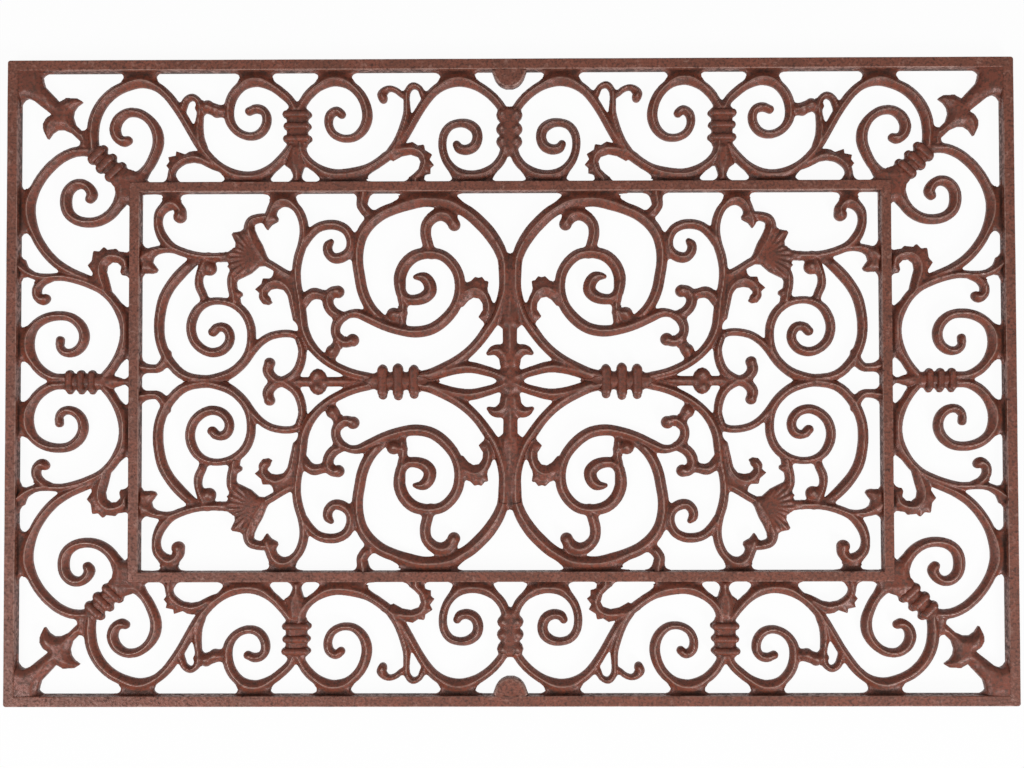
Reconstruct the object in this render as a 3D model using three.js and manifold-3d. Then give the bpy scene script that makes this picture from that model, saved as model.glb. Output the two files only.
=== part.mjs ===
// A scrolled doormat of cast iron: an outer frame, an inner frame round a centre panel, and
// scrollwork in the border band and in the panel. It lies flat, +Z up, with the origin on the
// floor under its centre; +X is the long way and +Y is the back. The pattern is the same in all
// four quarters, so each quarter piece is made once, in the back right one, and mirrored.
import * as THREE from "three";
import { mergeVertices } from "three/addons/utils/BufferGeometryUtils.js";
import Module from "manifold-3d";

const wasm = await Module();
wasm.setup();

// Driving sizes, in millimetres.
const matLong = 725;
const matDeep = 465;
const bandWide = 80; // clear width of the border band, between the two frames
const outerRailWide = 8.4;
const innerRailWide = 8;
const railTall = 10;
const railEase = 0.9; // slope along the top arrises of a rail
const bandBarWide = 6.5; // a scroll bar of the border band, at its foot
const panelBarWide = 7.5; // a scroll bar of the panel, at its foot
const barTall = 7.6;
const floorGap = 1; // the scrollwork's underside above the floor: the rails carry the mat
const webTall = 4.2; // the low web where a bar meets a rail
const leafTall = 7;
const collarTall = 8.2;
const collarRibWide = 5;
const collarRibTall = 8.8;
const cornerRibWide = 7.4;
const clearance = 0.3; // between neighbouring pieces

// Working values.
const crestShare = 0.45; // a bar's flat crest, of its width
const overrun = 1; // how far a cut runs past what it cuts
const chordSlack = 0.8; // the most that a straight stretch of a bar strays from its curve
const widestTurn = THREE.MathUtils.degToRad(52); // the most that one stretch may turn
const finePerSpan = 10;
const crumbWide = 3; // a cut's offcut smaller than a cube of this width is waste
const knobSides = 8;
const leastEdgeLong = 0.12; // edges shorter than this are joined up

// The pattern is laid out on squared paper: 100 squares from the centre to the right edge and 64
// from the centre to the back edge. Knots tie the paper to the faces of the four rails, so the
// pattern follows the sizes above. A row of a table is [right, back], or [right, back, width],
// with places in squares and the width as a share of the bar's own width.
const rightKnotShares = [0, 73.4, 75.6, 97.7, 100];
const backKnotShares = [0, 37.5, 39.6, 61.7, 64];
const outerFaceRight = matLong / 2 - outerRailWide;
const outerFaceBack = matDeep / 2 - outerRailWide;
const innerFaceRight = outerFaceRight - bandWide;
const innerFaceBack = outerFaceBack - bandWide;
const panelRight = innerFaceRight - innerRailWide;
const panelBack = innerFaceBack - innerRailWide;
const rightKnots = [0, panelRight, innerFaceRight, outerFaceRight, matLong / 2];
const backKnots = [0, panelBack, innerFaceBack, outerFaceBack, matDeep / 2];

function stretch(share, knotShares, knots) {
  const sign = Math.sign(share);
  const size = Math.abs(share);
  let k = 1;
  while (k < knotShares.length - 1 && size > knotShares[k]) k += 1;
  const along = (size - knotShares[k - 1]) / (knotShares[k] - knotShares[k - 1]);
  return sign * (knots[k - 1] + along * (knots[k] - knots[k - 1]));
}

function place([rightShare, backShare]) {
  const x = stretch(rightShare, rightKnotShares, rightKnots);
  const y = stretch(backShare, backKnotShares, backKnots);
  return new THREE.Vector2(x, y);
}

const mirrorRight = (rowShares) => rowShares.map(([r, b, ...rest]) => [-r, b, ...rest]);
const mirrorBack = (rowShares) => rowShares.map(([r, b, ...rest]) => [r, -b, ...rest]);

// One side of an outline, closed by its own mirror image.
const wholeOutline = (halfShares, mirror) => [...halfShares, ...mirror(halfShares).reverse()];

// Solids. Each maker takes a growth: 0 for the piece itself, or the clearance for the space that
// its neighbours leave to it.
function solidOf(positions, indices) {
  return new wasm.Manifold(
    new wasm.Mesh({
      numProp: 3,
      vertProperties: new Float32Array(positions),
      triVerts: new Uint32Array(indices),
    }),
  );
}

// Rings of as many points each, joined in order and closed at both ends.
function loft(rings) {
  const sides = rings[0].length;
  const positions = rings.flat().flatMap((p) => [p.x, p.y, p.z]);
  const indices = [];
  for (let r = 0; r + 1 < rings.length; r += 1) {
    for (let s = 0; s < sides; s += 1) {
      const a = r * sides + s;
      const b = r * sides + ((s + 1) % sides);
      indices.push(a, b, a + sides, b, b + sides, a + sides);
    }
  }
  const last = (rings.length - 1) * sides;
  for (let s = 1; s + 1 < sides; s += 1) {
    indices.push(0, s + 1, s, last, last + s, last + s + 1);
  }
  return solidOf(positions, indices);
}

// A scroll bar: wide foot, narrower crest, along a smooth line through the rows.
const bar = (rowShares, wide, tall = barTall) => (grow) => {
  const rows = rowShares.map((row) => {
    const at = place(row);
    return new THREE.Vector3(at.x, at.y, (row[2] ?? 1) * wide);
  });
  const route = new THREE.CatmullRomCurve3(rows, false, "centripetal");
  const fine = route.getPoints((rows.length - 1) * finePerSpan);
  const stations = [...stretches(fine, 0, fine.length - 1), fine.length - 1];
  const low = floorGap - (grow > 0 ? overrun : 0);
  const high = floorGap + tall + (grow > 0 ? overrun : 0);
  const rings = stations.map((i) => {
    const before = fine[Math.max(i - 1, 0)];
    const after = fine[Math.min(i + 1, fine.length - 1)];
    const side = new THREE.Vector2(before.y - after.y, after.x - before.x).normalize();
    const foot = fine[i].z / 2 + grow;
    const crest = (fine[i].z * crestShare) / 2 + grow;
    const at = (off, z) => new THREE.Vector3(fine[i].x + side.x * off, fine[i].y + side.y * off, z);
    return [at(foot, low), at(crest, high), at(-crest, high), at(-foot, low)];
  });
  return loft(rings);
};

// Where the straight stretches start that follow the fine points from one to another.
function stretches(fine, from, to) {
  const chord = new THREE.Line3(fine[from], fine[to]);
  const nearest = new THREE.Vector3();
  let turned = 0;
  let stray = 0;
  let strayAt = from;
  for (let i = from + 1; i < to; i += 1) {
    turned += Math.abs(turnAt(fine, i));
    const off = chord.closestPointToPoint(fine[i], true, nearest).distanceTo(fine[i]);
    if (off > stray) {
      stray = off;
      strayAt = i;
    }
  }
  if (strayAt === from || (stray < chordSlack && turned < widestTurn)) return [from];
  return [...stretches(fine, from, strayAt), ...stretches(fine, strayAt, to)];
}

function turnAt(points, i) {
  const into = Math.atan2(points[i].y - points[i - 1].y, points[i].x - points[i - 1].x);
  const out = Math.atan2(points[i + 1].y - points[i].y, points[i + 1].x - points[i].x);
  return Math.atan2(Math.sin(out - into), Math.cos(out - into));
}

// A flat piece of the pattern, such as a leaf or a web, with upright sides.
const plate = (outlineShares, tall) => (grow) => {
  let outline = outlineShares.map(place);
  if (THREE.ShapeUtils.isClockWise(outline)) outline.reverse();
  if (grow > 0) outline = grown(outline, grow);
  const lowBy = grow > 0 ? overrun : 0;
  const geometry = new THREE.ExtrudeGeometry(new THREE.Shape(outline), {
    depth: tall + 2 * lowBy,
    bevelEnabled: false,
  });
  geometry.translate(0, 0, floorGap - lowBy);
  return solidFromGeometry(geometry);
};

// Each side of a closed outline moved outwards, with no corner running out past three times that.
function grown(outline, grow) {
  const longestMitre = 3;
  return outline.map((p, i) => {
    const before = outline[(i + outline.length - 1) % outline.length];
    const after = outline[(i + 1) % outline.length];
    const inNormal = new THREE.Vector2(p.y - before.y, before.x - p.x).normalize();
    const outNormal = new THREE.Vector2(after.y - p.y, p.x - after.x).normalize();
    const spread = Math.max(1 + inNormal.dot(outNormal), 1 / longestMitre);
    return p.clone().addScaledVector(inNormal.add(outNormal), grow / spread);
  });
}

function solidFromGeometry(geometry) {
  geometry.deleteAttribute("normal");
  geometry.deleteAttribute("uv");
  const merged = mergeVertices(geometry);
  return solidOf(merged.attributes.position.array, merged.index.array);
}

// A round knob, such as the ball that ends a tendril.
const knob = (centreShares, wideShare, wide, tall = barTall) => (grow) => {
  const at = place(centreShares);
  const lowBy = grow > 0 ? overrun : 0;
  const foot = (wideShare * wide) / 2 + grow;
  const crest = (wideShare * wide * crestShare) / 2 + grow;
  const geometry = new THREE.CylinderGeometry(crest, foot, tall + 2 * lowBy, knobSides);
  geometry.rotateX(Math.PI / 2);
  geometry.translate(at.x, at.y, floorGap + tall / 2);
  return solidFromGeometry(geometry);
};

// A level ring round a plan given by two opposite corners, drawn in by an inset.
const level = ([fromX, fromY, toX, toY], inset, z) => [
  new THREE.Vector3(fromX + inset, fromY + inset, z),
  new THREE.Vector3(toX - inset, fromY + inset, z),
  new THREE.Vector3(toX - inset, toY - inset, z),
  new THREE.Vector3(fromX + inset, toY - inset, z),
];

// A rail: an upright block with eased top arrises.
const rail = (plan) => (grow) => {
  const lowBy = grow > 0 ? overrun : 0;
  const ease = grow > 0 ? 0 : railEase;
  const shoulder = railTall - railEase;
  return loft([
    level(plan, -grow, -lowBy),
    level(plan, -grow, shoulder),
    level(plan, ease - grow, railTall + lowBy),
  ]);
};

// The same maker for a table and for its mirror image.
const pair = (make, rowShares, mirror, ...sizes) => [
  make(rowShares, ...sizes),
  make(mirror(rowShares), ...sizes),
];

const joined = (makers, grow) => makers.map((make) => make(grow)).reduce((a, b) => a.add(b));

function withoutCrumbs(solid) {
  const bodies = solid.decompose().filter((body) => body.volume() > crumbWide ** 3);
  return bodies.reduce((a, b) => a.add(b));
}

// The two frames. The long rails run the full length and the short rails stand between them.
const outerShortEnd = outerFaceBack - clearance;
const innerShortEnd = panelBack - clearance;
const bossHalfShares = [[0.7, 58.2], [1.9, 58.7], [2.8, 59.8], [3.2, 60.9], [3.6, 62]];
const outerRailBack = rail([-matLong / 2, outerFaceBack, matLong / 2, matDeep / 2]);
const outerRailRight = rail([outerFaceRight, -outerShortEnd, matLong / 2, outerShortEnd]);
const innerRailBack = rail([-innerFaceRight, panelBack, innerFaceRight, innerFaceBack]);
const innerRailRight = rail([panelRight, -innerShortEnd, innerFaceRight, innerShortEnd]);
const midBoss = plate(wholeOutline(bossHalfShares, mirrorRight), railTall - floorGap - railEase);

// Long border, centre: a rough collar of three bulges that binds two volutes.
const roughCollarHalfShares = [
  [1.3, 54.3], [2.3, 53.6], [2.9, 52.2], [2.6, 51.2], [2.65, 49.6], [2.0, 48.3], [2.75, 47.1],
  [2.05, 45.8], [1.2, 44.8],
];
const centreVoluteShares = [
  [0.9, 46, 0.9], [1.5, 44.2], [2.9, 42.5], [5.1, 41.3], [7.8, 40.9], [10.5, 41.6],
  [12.5, 43.7, 0.9], [13.4, 46.6, 0.88], [13.1, 49.2, 0.88], [11.9, 50.8, 0.85],
  [10, 51.4, 0.85], [8.1, 51.1, 1], [6.7, 49.9, 1.1], [6.4, 48.2, 1.1], [7.1, 46.7, 1.1],
  [8.6, 46, 1.05], [10, 46.3, 0.95], [10.7, 47.3, 0.6],
];
const centreVoluteWebShares = [
  [4.8, 39.2], [5.1, 40.4], [5.9, 41.3], [9.8, 41.3], [10.7, 40.3], [11, 39.2],
];
const longCentre = [
  plate(wholeOutline(roughCollarHalfShares, mirrorRight), collarTall),
  ...pair(bar, centreVoluteShares, mirrorRight, bandBarWide),
  ...pair(plate, centreVoluteWebShares, mirrorRight, webTall),
];

// Long border, side: a three-rib collar with a tongue to the inner rail, and its two volutes.
const sideCollarShares = [[40.4, 47], [40.4, 54.2], [41.4, 55.2], [43.4, 55.2], [44.4, 54.2], [44.4, 47]];
const sideRibShares = [
  [[39.7, 53.2], [45.3, 53.2]], [[39.8, 50.8], [45.1, 50.8]], [[39.6, 48.3], [45.2, 48.3]],
];
const tongueShares = [
  [40.9, 47.2], [40.7, 44.4], [41, 42.6], [41.5, 40.9], [41.3, 39.3], [43.5, 39.3], [43.1, 40.9],
  [43.8, 42.4], [44, 44.2], [43.8, 47.2],
];
const innerSideVoluteShares = [
  [42, 54.2, 0.9], [41.1, 55.9, 0.95], [39.9, 57.5], [38, 59], [35.2, 59.9], [32.2, 59.3],
  [30, 57.4, 1.05], [28.8, 55, 1.1], [28.5, 52.5, 1.1], [29.3, 50.2, 1], [31.1, 48.6, 0.85],
  [33.4, 48.4, 0.8], [35.4, 49.5, 0.85], [36.2, 51.5, 0.9], [35.8, 53.2, 0.95],
  [34.6, 53.9, 0.9], [33.3, 53, 0.75],
];
const outerSideVoluteShares = [
  [42.8, 54.2, 0.9], [43.7, 55.9, 0.95], [45.2, 57.4], [47.4, 59], [50.3, 59.9], [53.1, 59.3],
  [55.1, 57.3, 1.05], [56, 54.7, 1.05], [55.8, 52], [54.4, 50, 0.9], [52.1, 49, 0.85],
  [50.1, 49.4, 0.9], [48.8, 50.9, 0.95], [48.5, 52.8, 0.95], [49.2, 54.1, 0.95],
  [50.6, 54.5, 0.95], [52, 54, 0.6],
];
const innerSideWebShares = [
  [31.1, 62.1], [31.5, 60.4], [32.4, 59.4], [37, 59.4], [38.3, 60.4], [38.8, 62.1],
];
const outerSideWebShares = [
  [46.8, 62.1], [47.5, 60.5], [48.5, 59.5], [53, 59.5], [53.9, 60.3], [54.7, 62.1],
];
const sideCollar = [
  plate(sideCollarShares, collarTall),
  ...sideRibShares.map((rowShares) => bar(rowShares, collarRibWide, collarRibTall)),
  plate(tongueShares, leafTall),
  bar(innerSideVoluteShares, bandBarWide),
  bar(outerSideVoluteShares, bandBarWide),
  plate(innerSideWebShares, webTall),
  plate(outerSideWebShares, webTall),
];

// Long border, inner scroll: from the centre collar over to the side collar, with a leaf and a
// looped tendril.
const innerArchShares = [
  [1.1, 53.8, 0.9], [2.6, 55.8, 0.95], [4.5, 57.6, 0.95], [7, 59.1], [10, 59.8, 1.05],
  [12.8, 59.3, 1.05], [15.2, 57.8], [17.1, 55.5, 0.95], [18.7, 52.9, 0.9], [20.2, 50.2, 0.9],
  [21.8, 47.6, 0.95], [23.5, 45.6], [25.6, 43.9], [28.2, 42.3], [31.2, 41.5], [34.6, 41.2],
  [37.4, 41.9], [39.7, 43.3], [41.2, 45.2], [41.7, 47.4],
];
const innerStemShares = [
  [24.2, 45.2, 0.9], [22.9, 46.9, 0.9], [21.8, 49.1, 0.9], [21, 51.4, 0.9], [20.55, 53.6, 0.8],
  [20.6, 55.8, 0.68], [20.4, 57.9, 0.66], [19.4, 59, 0.7], [18.1, 58.6, 0.6], [17.3, 57.1, 0.7],
  [16.8, 56, 0.7],
];
const innerTendrilShares = [
  [20.6, 56.6, 0.6], [21.7, 57.3, 0.6], [22.7, 58.1, 0.6], [23.9, 58.45, 0.62], [25, 58, 0.8],
  [25.6, 57.1, 0.95], [25.3, 56.3, 0.9],
];
const innerLeafShares = [
  [22.6, 47.6], [20.8, 47.3], [19.4, 47.6], [18.3, 46.9], [17.1, 47.1], [16.9, 46], [15.5, 45.1],
  [16, 44.1], [15.1, 43], [15.8, 42.4], [15.8, 41.3], [16.8, 41.1], [17.6, 40.2], [17.5, 39.2],
  [19.9, 39.2], [19.9, 40.6], [19, 41.3], [18.2, 42.1], [17.8, 43.6], [18.3, 44.6], [19.8, 45.1],
  [21.5, 44.8], [23.3, 43.8], [24.6, 44.6],
];
const innerArchWebShares = [[6.5, 62.1], [7, 60.6], [7.7, 59.4], [12.9, 59.4], [13.9, 60.3], [14.6, 62.1]];
const innerFootWebShares = [
  [27.9, 39.2], [28.9, 40.6], [30.2, 41.3], [35.4, 41.1], [36.7, 40.3], [37, 39.2],
];
const longInner = [
  bar(innerArchShares, bandBarWide),
  bar(innerStemShares, bandBarWide),
  bar(innerTendrilShares, bandBarWide),
  knob([25.35, 56.6], 1, bandBarWide),
  plate(innerLeafShares, leafTall),
  plate(innerArchWebShares, webTall),
  plate(innerFootWebShares, webTall),
];

// Long border, outer scroll: from the side collar over to the corner collar, with a leaf, a
// looped tendril and a ball tie to the volute beside it.
const outerFootShares = [
  [43.6, 46.8, 0.9], [45, 44.9], [46.9, 42.9, 1.05], [49.2, 41.5, 1.05], [52, 40.9, 1.05],
  [55.3, 41.5], [58, 42.9], [60.2, 44.9], [62, 47.3], [63.7, 50.2], [65.2, 52.8], [66.8, 55.2],
  [68.4, 57.2], [70.6, 58.9], [73.4, 59.6], [76.3, 59.1, 1.05], [79.1, 57.8, 1.1],
  [81.4, 55.6, 1.15], [82.9, 52.7, 1.2], [83.4, 49.5, 1.2], [83.2, 46.4, 1.1],
];
const outerStemShares = [
  [61, 46], [61.9, 48.4], [62.1, 50.6, 0.95], [61.85, 52.8, 0.75], [61.7, 54.6, 0.7],
  [62.1, 56, 0.7], [63.3, 56.8, 0.72], [64.5, 56.2, 0.72], [65.1, 54.9, 0.75], [65.6, 53.2, 0.8],
];
const ballTieShares = [[56.2, 54, 1.1], [58.2, 54.1, 1.3], [60.1, 54.7, 1.25], [62, 54.6, 1]];
const outerLeafShares = [
  [59.6, 44.6], [61.2, 45.7], [62.9, 46], [64, 45.8], [64.8, 45.3], [66.6, 45.9], [66.7, 45],
  [68.2, 44.7], [68, 43.8], [68.6, 43], [68.1, 42.3], [68.35, 41.2], [68.2, 39.2], [66.4, 39.2],
  [66.6, 40.6], [66.9, 41.4], [66.3, 42.4], [65, 43.4], [63.2, 43.7], [61.4, 43.4], [59.8, 42.7],
];
const outerArchWebShares = [
  [69.7, 62.1], [70.5, 60.6], [71.3, 59.3], [75.9, 59.3], [77.2, 60.3], [77.8, 62.1],
];
const outerFootWebShares = [
  [47.9, 39.2], [48.9, 40.7], [50.3, 41.2], [54.3, 41], [56.1, 40.2], [56.7, 39.2],
];
const longOuter = [
  bar(outerFootShares, bandBarWide),
  bar(outerStemShares, bandBarWide),
  bar(ballTieShares, bandBarWide),
  plate(outerLeafShares, leafTall),
  plate(outerArchWebShares, webTall),
  plate(outerFootWebShares, webTall),
];

// Corner: a three-rib collar across the diagonal, with a fleur-de-lis that reaches the frame.
const cornerCollarShares = [[77.6, 42.8], [79.9, 40.7], [84.2, 44.6], [84.9, 46.8], [82.4, 47]];
const cornerRibShares = [
  [[77.2, 43.3], [80.6, 40.1]], [[79.1, 45], [82.4, 41.8]], [[80.9, 46.7], [84, 43.6]],
];
const finialShares = [
  [84, 46], [84.4, 50.2], [85.6, 50.1], [86.8, 51.3], [87.3, 52.9], [87.1, 54.1], [86.4, 55.1],
  [85.3, 55.9], [86.4, 56.6], [88.6, 56.7], [90, 55.9], [91.6, 57.6], [93.3, 59.4],
  [93.6, 60.6], [92.6, 62.1], [98, 62.1], [98, 55], [96.9, 56.4], [95.9, 56.8], [94.4, 55.6],
  [91.6, 53.4], [92.6, 52.7], [93.3, 51.5], [93.2, 50.2], [92.3, 48.3], [91.4, 49.6],
  [90.4, 50.3], [89.2, 50.3], [87.6, 49.6], [85.8, 47.9], [86.2, 46],
];
const cornerFinial = [
  plate(cornerCollarShares, collarTall),
  ...cornerRibShares.map((rowShares) => bar(rowShares, cornerRibWide, collarRibTall)),
  plate(finialShares, barTall),
];

// Corner: the two volutes that spring from under the collar, joined at the inner frame's corner.
const upperCornerVoluteShares = [
  [78.6, 40.6, 1.1], [76.2, 40.5, 1.1], [74.1, 41], [72.4, 42.6], [71.1, 44.9, 1.05],
  [70.3, 47.4, 1.15], [70.5, 49.8, 1.15], [71.8, 52], [74, 53.5, 0.95], [76.4, 53.6, 0.95],
  [78.2, 52.3, 1.1], [78.9, 50.4, 1.15], [78.4, 48.7, 1.1], [77.2, 47.9, 1], [76, 48.2, 0.7],
];
const lowerCornerVoluteShares = [
  [77.6, 41.6, 1.1], [77.6, 39.2, 1.15], [77.8, 37.1, 1.15], [78.5, 35.1, 1.15],
  [79.9, 33.4, 1.1], [82, 32.2, 1.05], [84.4, 31.9, 1.05], [86.7, 32.5, 1.1],
  [88.2, 33.9, 1.15], [88.7, 36, 1.2], [88.3, 38, 1.15], [87.1, 39.2, 1.1], [85.6, 39.5, 1.05],
  [84.2, 38.8, 1.05], [83.5, 37.5, 1.1], [84.1, 36.3, 0.7],
];
const cornerJointShares = [[75, 39], [75, 41.4], [77, 42.6], [80, 40.2], [78.7, 38.9], [76.3, 37.2]];
const cornerVolutes = [
  bar(upperCornerVoluteShares, bandBarWide),
  bar(lowerCornerVoluteShares, bandBarWide),
  plate(cornerJointShares, leafTall),
];

// Short border scroll: from the corner collar to the short collar, with a leaf on the inner
// rail, a hook, and a foot on the outer rail.
const cornerSweepShares = [
  [84.2, 46], [86.9, 45.9], [89.5, 44.8], [91.8, 42.9], [93.7, 40.6], [95.1, 38], [95.8, 35],
  [95.5, 32], [94.6, 29.2], [92.9, 26.4], [90.8, 24.1], [88.2, 22.3], [85.2, 21, 0.9],
  [82.6, 20, 0.9],
];
const shortBowShares = [
  [80.6, 1], [79.2, 2.7], [77.9, 5, 0.95], [77.1, 7.4, 0.9], [76.8, 9.8, 0.9], [77.1, 12.3, 0.95],
  [78, 14.6], [79.4, 16.7], [81.3, 18.4], [83.7, 19.6], [86.4, 20.5, 0.95], [89.2, 21, 0.85],
  [92, 20.9, 0.8], [94.4, 21.1, 0.8], [96.3, 22, 0.85], [98, 23.2, 0.9],
];
const shortHookShares = [
  [91.2, 20.8, 0.8], [93.1, 20, 0.85], [94.2, 18.6, 0.95], [94.1, 17.1], [93.1, 16.4, 1.05],
  [92.2, 16.8, 0.75],
];
const footOnRailShares = [
  [94.4, 21.8], [95.5, 22.6], [96, 23.8], [96.3, 24.7], [98.2, 25], [98.2, 20.1], [97.2, 20.3],
  [96.5, 20.9], [95.5, 20.5], [94.2, 20.2],
];
const shortLeafShares = [
  [75.3, 25], [76.9, 25.9], [78, 26.1], [78.5, 26.6], [80.3, 26.4], [80.9, 27], [81.8, 26.1],
  [83, 26.2], [83.3, 24.2], [84.1, 23.3], [83.1, 21.8], [83.2, 20.2], [82.2, 18.8], [80.6, 17.9],
  [79.3, 17.8], [79.9, 20.2], [80.4, 22], [80.2, 23.2], [79.3, 23.9], [78.2, 23.8], [77.4, 23],
  [77.6, 21.9], [77.3, 21.3], [75.3, 21.2],
];
const sweepWebShares = [[98.2, 39], [97.1, 38.6], [95.7, 37.6], [95.2, 31], [96.1, 29.6], [98.2, 29]];
const bowWebShares = [[75.2, 14.3], [76.3, 14.1], [77.2, 12.7], [77.1, 6.6], [76.7, 5.2], [75.2, 4.8]];
const shortScroll = [
  bar(cornerSweepShares, bandBarWide),
  bar(shortBowShares, bandBarWide),
  bar(shortHookShares, bandBarWide),
  plate(footOnRailShares, webTall),
  plate(shortLeafShares, leafTall),
  plate(sweepWebShares, webTall),
  plate(bowWebShares, webTall),
];

// Short border, centre: a three-rib collar with a spear to the inner rail and two volutes.
const shortCollarHalfShares = [[75.2, 0.4], [76.6, 0.45], [78, 1], [79.4, 1.25], [80.8, 1.5], [89.2, 1.45]];
const shortRibShares = [[[83, -2.3], [83, 2.3]], [[85.2, -2.3], [85.2, 2.3]], [[87.5, -2.3], [87.5, 2.3]]];
const shortVoluteShares = [
  [88.4, 0.6], [90.9, 0.8], [93.1, 1.9, 1.05], [94.7, 3.6, 1.05], [95.7, 6, 1.05],
  [95.8, 8.4, 1.05], [94.9, 10.9], [92.9, 12.5], [90, 13.2], [87.4, 12.8], [85.5, 11.2, 1.05],
  [84.8, 9.2, 1.05], [85.3, 7.2], [86.8, 5.9, 0.95], [88.5, 5.8, 0.9], [89.6, 6.8, 0.8],
  [89.6, 8.3, 0.45],
];
const shortVoluteWebShares = [[98.2, 4], [96.9, 4.3], [95.4, 5.2], [95.6, 9.6], [96.8, 10.7], [98.2, 11]];
const shortCentre = [
  plate(wholeOutline(shortCollarHalfShares, mirrorBack), collarTall),
  ...shortRibShares.map((rowShares) => bar(rowShares, collarRibWide, collarRibTall)),
  ...pair(bar, shortVoluteShares, mirrorBack, bandBarWide),
  ...pair(plate, shortVoluteWebShares, mirrorBack, webTall),
];

// Panel, centre: a spindle with four barbs, forked at both ends, and four arched arms that end
// in the panel's collars.
const spindleQuarterShares = [
  [0.2, 18.2], [0.7, 17.4], [1.8, 13.4], [2.1, 11], [1.45, 10.4], [1.4, 7.4], [1.3, 3],
  [2.1, 2], [2.7, 0.4],
];
const spindleArmShares = [
  [1.15, 25.3, 1.05], [1.05, 22], [1.05, 19.5], [1.4, 16.8], [2.1, 14.4], [3.1, 12.3],
  [4.5, 10.2], [5.7, 8.5, 0.95], [7, 6.95, 0.93], [8.6, 5.4, 0.95], [10.6, 3.9, 1],
  [13.2, 2.5], [16, 1.3], [18.4, 0.8],
];
const barbShares = [[0.8, 3.4], [1.1, 5, 1.05], [2, 6, 1.05], [3.1, 6.15, 0.8], [4.3, 5.5, 0.3]];
const eyeArchShares = [
  [1.2, 0.6], [2.8, 1.4, 0.9], [5, 2.1, 0.95], [7.6, 2.7, 1.05], [10.2, 2.6, 1.1], [12.8, 1.9],
  [16, 0.8],
];
const spindleHalfShares = wholeOutline(spindleQuarterShares, mirrorBack);
const centreSpindle = [
  plate(wholeOutline(spindleHalfShares, mirrorRight), barTall),
  ...[spindleArmShares, barbShares, eyeArchShares].flatMap((rowShares) => [
    ...pair(bar, rowShares, mirrorRight, panelBarWide),
    ...pair(bar, mirrorBack(rowShares), mirrorRight, panelBarWide),
  ]),
];

// Panel, side: a three-rib collar with a spear, a bead and two C-curls.
const panelCollarHalfShares = [
  [17, 1.45], [28.6, 1.5], [29.2, 0.3], [31, 0.5], [33.3, 0.95], [36.3, 0.95], [36.7, 1.8],
  [37.4, 2.45], [38.2, 2.65], [39, 2.35], [39.6, 1.7], [39.9, 0.95], [42.4, 0.95], [44.4, 0.4],
];
const panelRibShares = [
  [[19, -2.8], [19, 2.8]], [[22.15, -3.1], [22.15, 3.1]], [[25.2, -2.9], [25.2, 2.9]],
];
const cCurlShares = [
  [42, 8.6, 0.7], [41.3, 6.4, 0.75], [41.5, 4.2, 0.8], [42.3, 2.2, 0.85], [43.7, 0.8, 0.9],
  [45.5, 0.1, 0.9], [47.1, 0.7, 0.95], [48.1, 2.1], [47.9, 3.5, 0.95],
];
const panelSide = [
  plate(wholeOutline(panelCollarHalfShares, mirrorBack), barTall),
  ...panelRibShares.map((rowShares) => bar(rowShares, collarRibWide, collarRibTall)),
  ...pair(bar, cCurlShares, mirrorBack, panelBarWide),
  knob([47.8, 3.7], 1, panelBarWide),
  knob([47.8, -3.7], 1, panelBarWide),
];

// Panel, heart: the bar from the spindle's fork, along the inner rail and down to the ring.
const heartShares = [
  [1.1, 24.6, 1.05], [2.6, 27.2, 1.1], [4.3, 29.5, 1.1], [6.3, 31.7, 1.15], [8.6, 33.7, 1.15],
  [11.3, 35.1, 1.1], [14.2, 35.7, 1.05], [17.2, 35.8], [20.2, 35.2, 1.05], [23, 34.4, 1.1],
  [25.7, 33.2, 1.15], [28, 31.3, 1.15], [29.5, 29, 1.1], [30.2, 26.4, 1.05], [30.3, 23.6],
  [29.9, 20.8], [29.4, 18.2], [28.5, 15.9], [27.1, 13.8], [25.4, 12.2],
];
const heartTieShares = [[29, 38], [29.2, 36.4, 1.05], [29.4, 35.1], [28.7, 33.9], [27.4, 32.8]];
const heartWebShares = [[9.1, 37.9], [10.3, 36.5], [11.2, 35.2], [20.3, 35.3], [21.3, 36.4], [22.3, 37.9]];
const panelHeart = [
  bar(heartShares, panelBarWide),
  bar(heartTieShares, panelBarWide),
  plate(heartWebShares, webTall),
];

// Panel, ring: the ring and its foot, the volute inside it, a leaf, a ball branch, and two
// S-tendrils that tie it to the outer bar.
const ringShares = [
  [31.2, 7.9, 0.75], [32.6, 7.6, 0.75], [34.1, 8.4, 0.8], [34.7, 10.2, 0.85], [34.1, 12, 0.9],
  [32.4, 13.2, 0.72], [30.4, 13.5, 0.85], [28, 12.6], [25, 11.2], [21.8, 10.2], [18.6, 9.8, 1.05],
  [15.6, 10.4, 1.05], [13, 12.2, 1.05], [10.9, 14.9], [10, 18], [10.3, 21.2], [11.6, 23.5],
  [13.6, 25.1], [16.3, 25.5, 1], [19, 24.9, 1.1], [20.9, 23.2, 1.12], [21.9, 20.8, 1.12],
  [21.9, 18.8, 1.05],
];
const ringNeckShares = [[21.9, 19.4], [21.5, 16.6, 0.85], [21.2, 14.4, 0.75], [21.6, 10.8, 0.8]];
const ringVoluteShares = [
  [22, 19.2], [21.5, 17.3], [20.3, 16.3, 0.95], [18.6, 16.2, 0.95], [16.9, 16.8, 1.1],
  [15.8, 18, 1.15], [15.8, 19.4, 1.1], [16.4, 20.5, 0.85], [17.4, 20.8, 0.55], [18.4, 20.2, 0.25],
];
const ballBranchShares = [
  [15.7, 25.2], [16.4, 27.4], [16.8, 29.4], [16.5, 31.3], [15.2, 32.9, 1.05], [13.4, 33.5, 1.1],
  [11.8, 33, 1.05], [10.9, 31.4],
];
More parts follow.
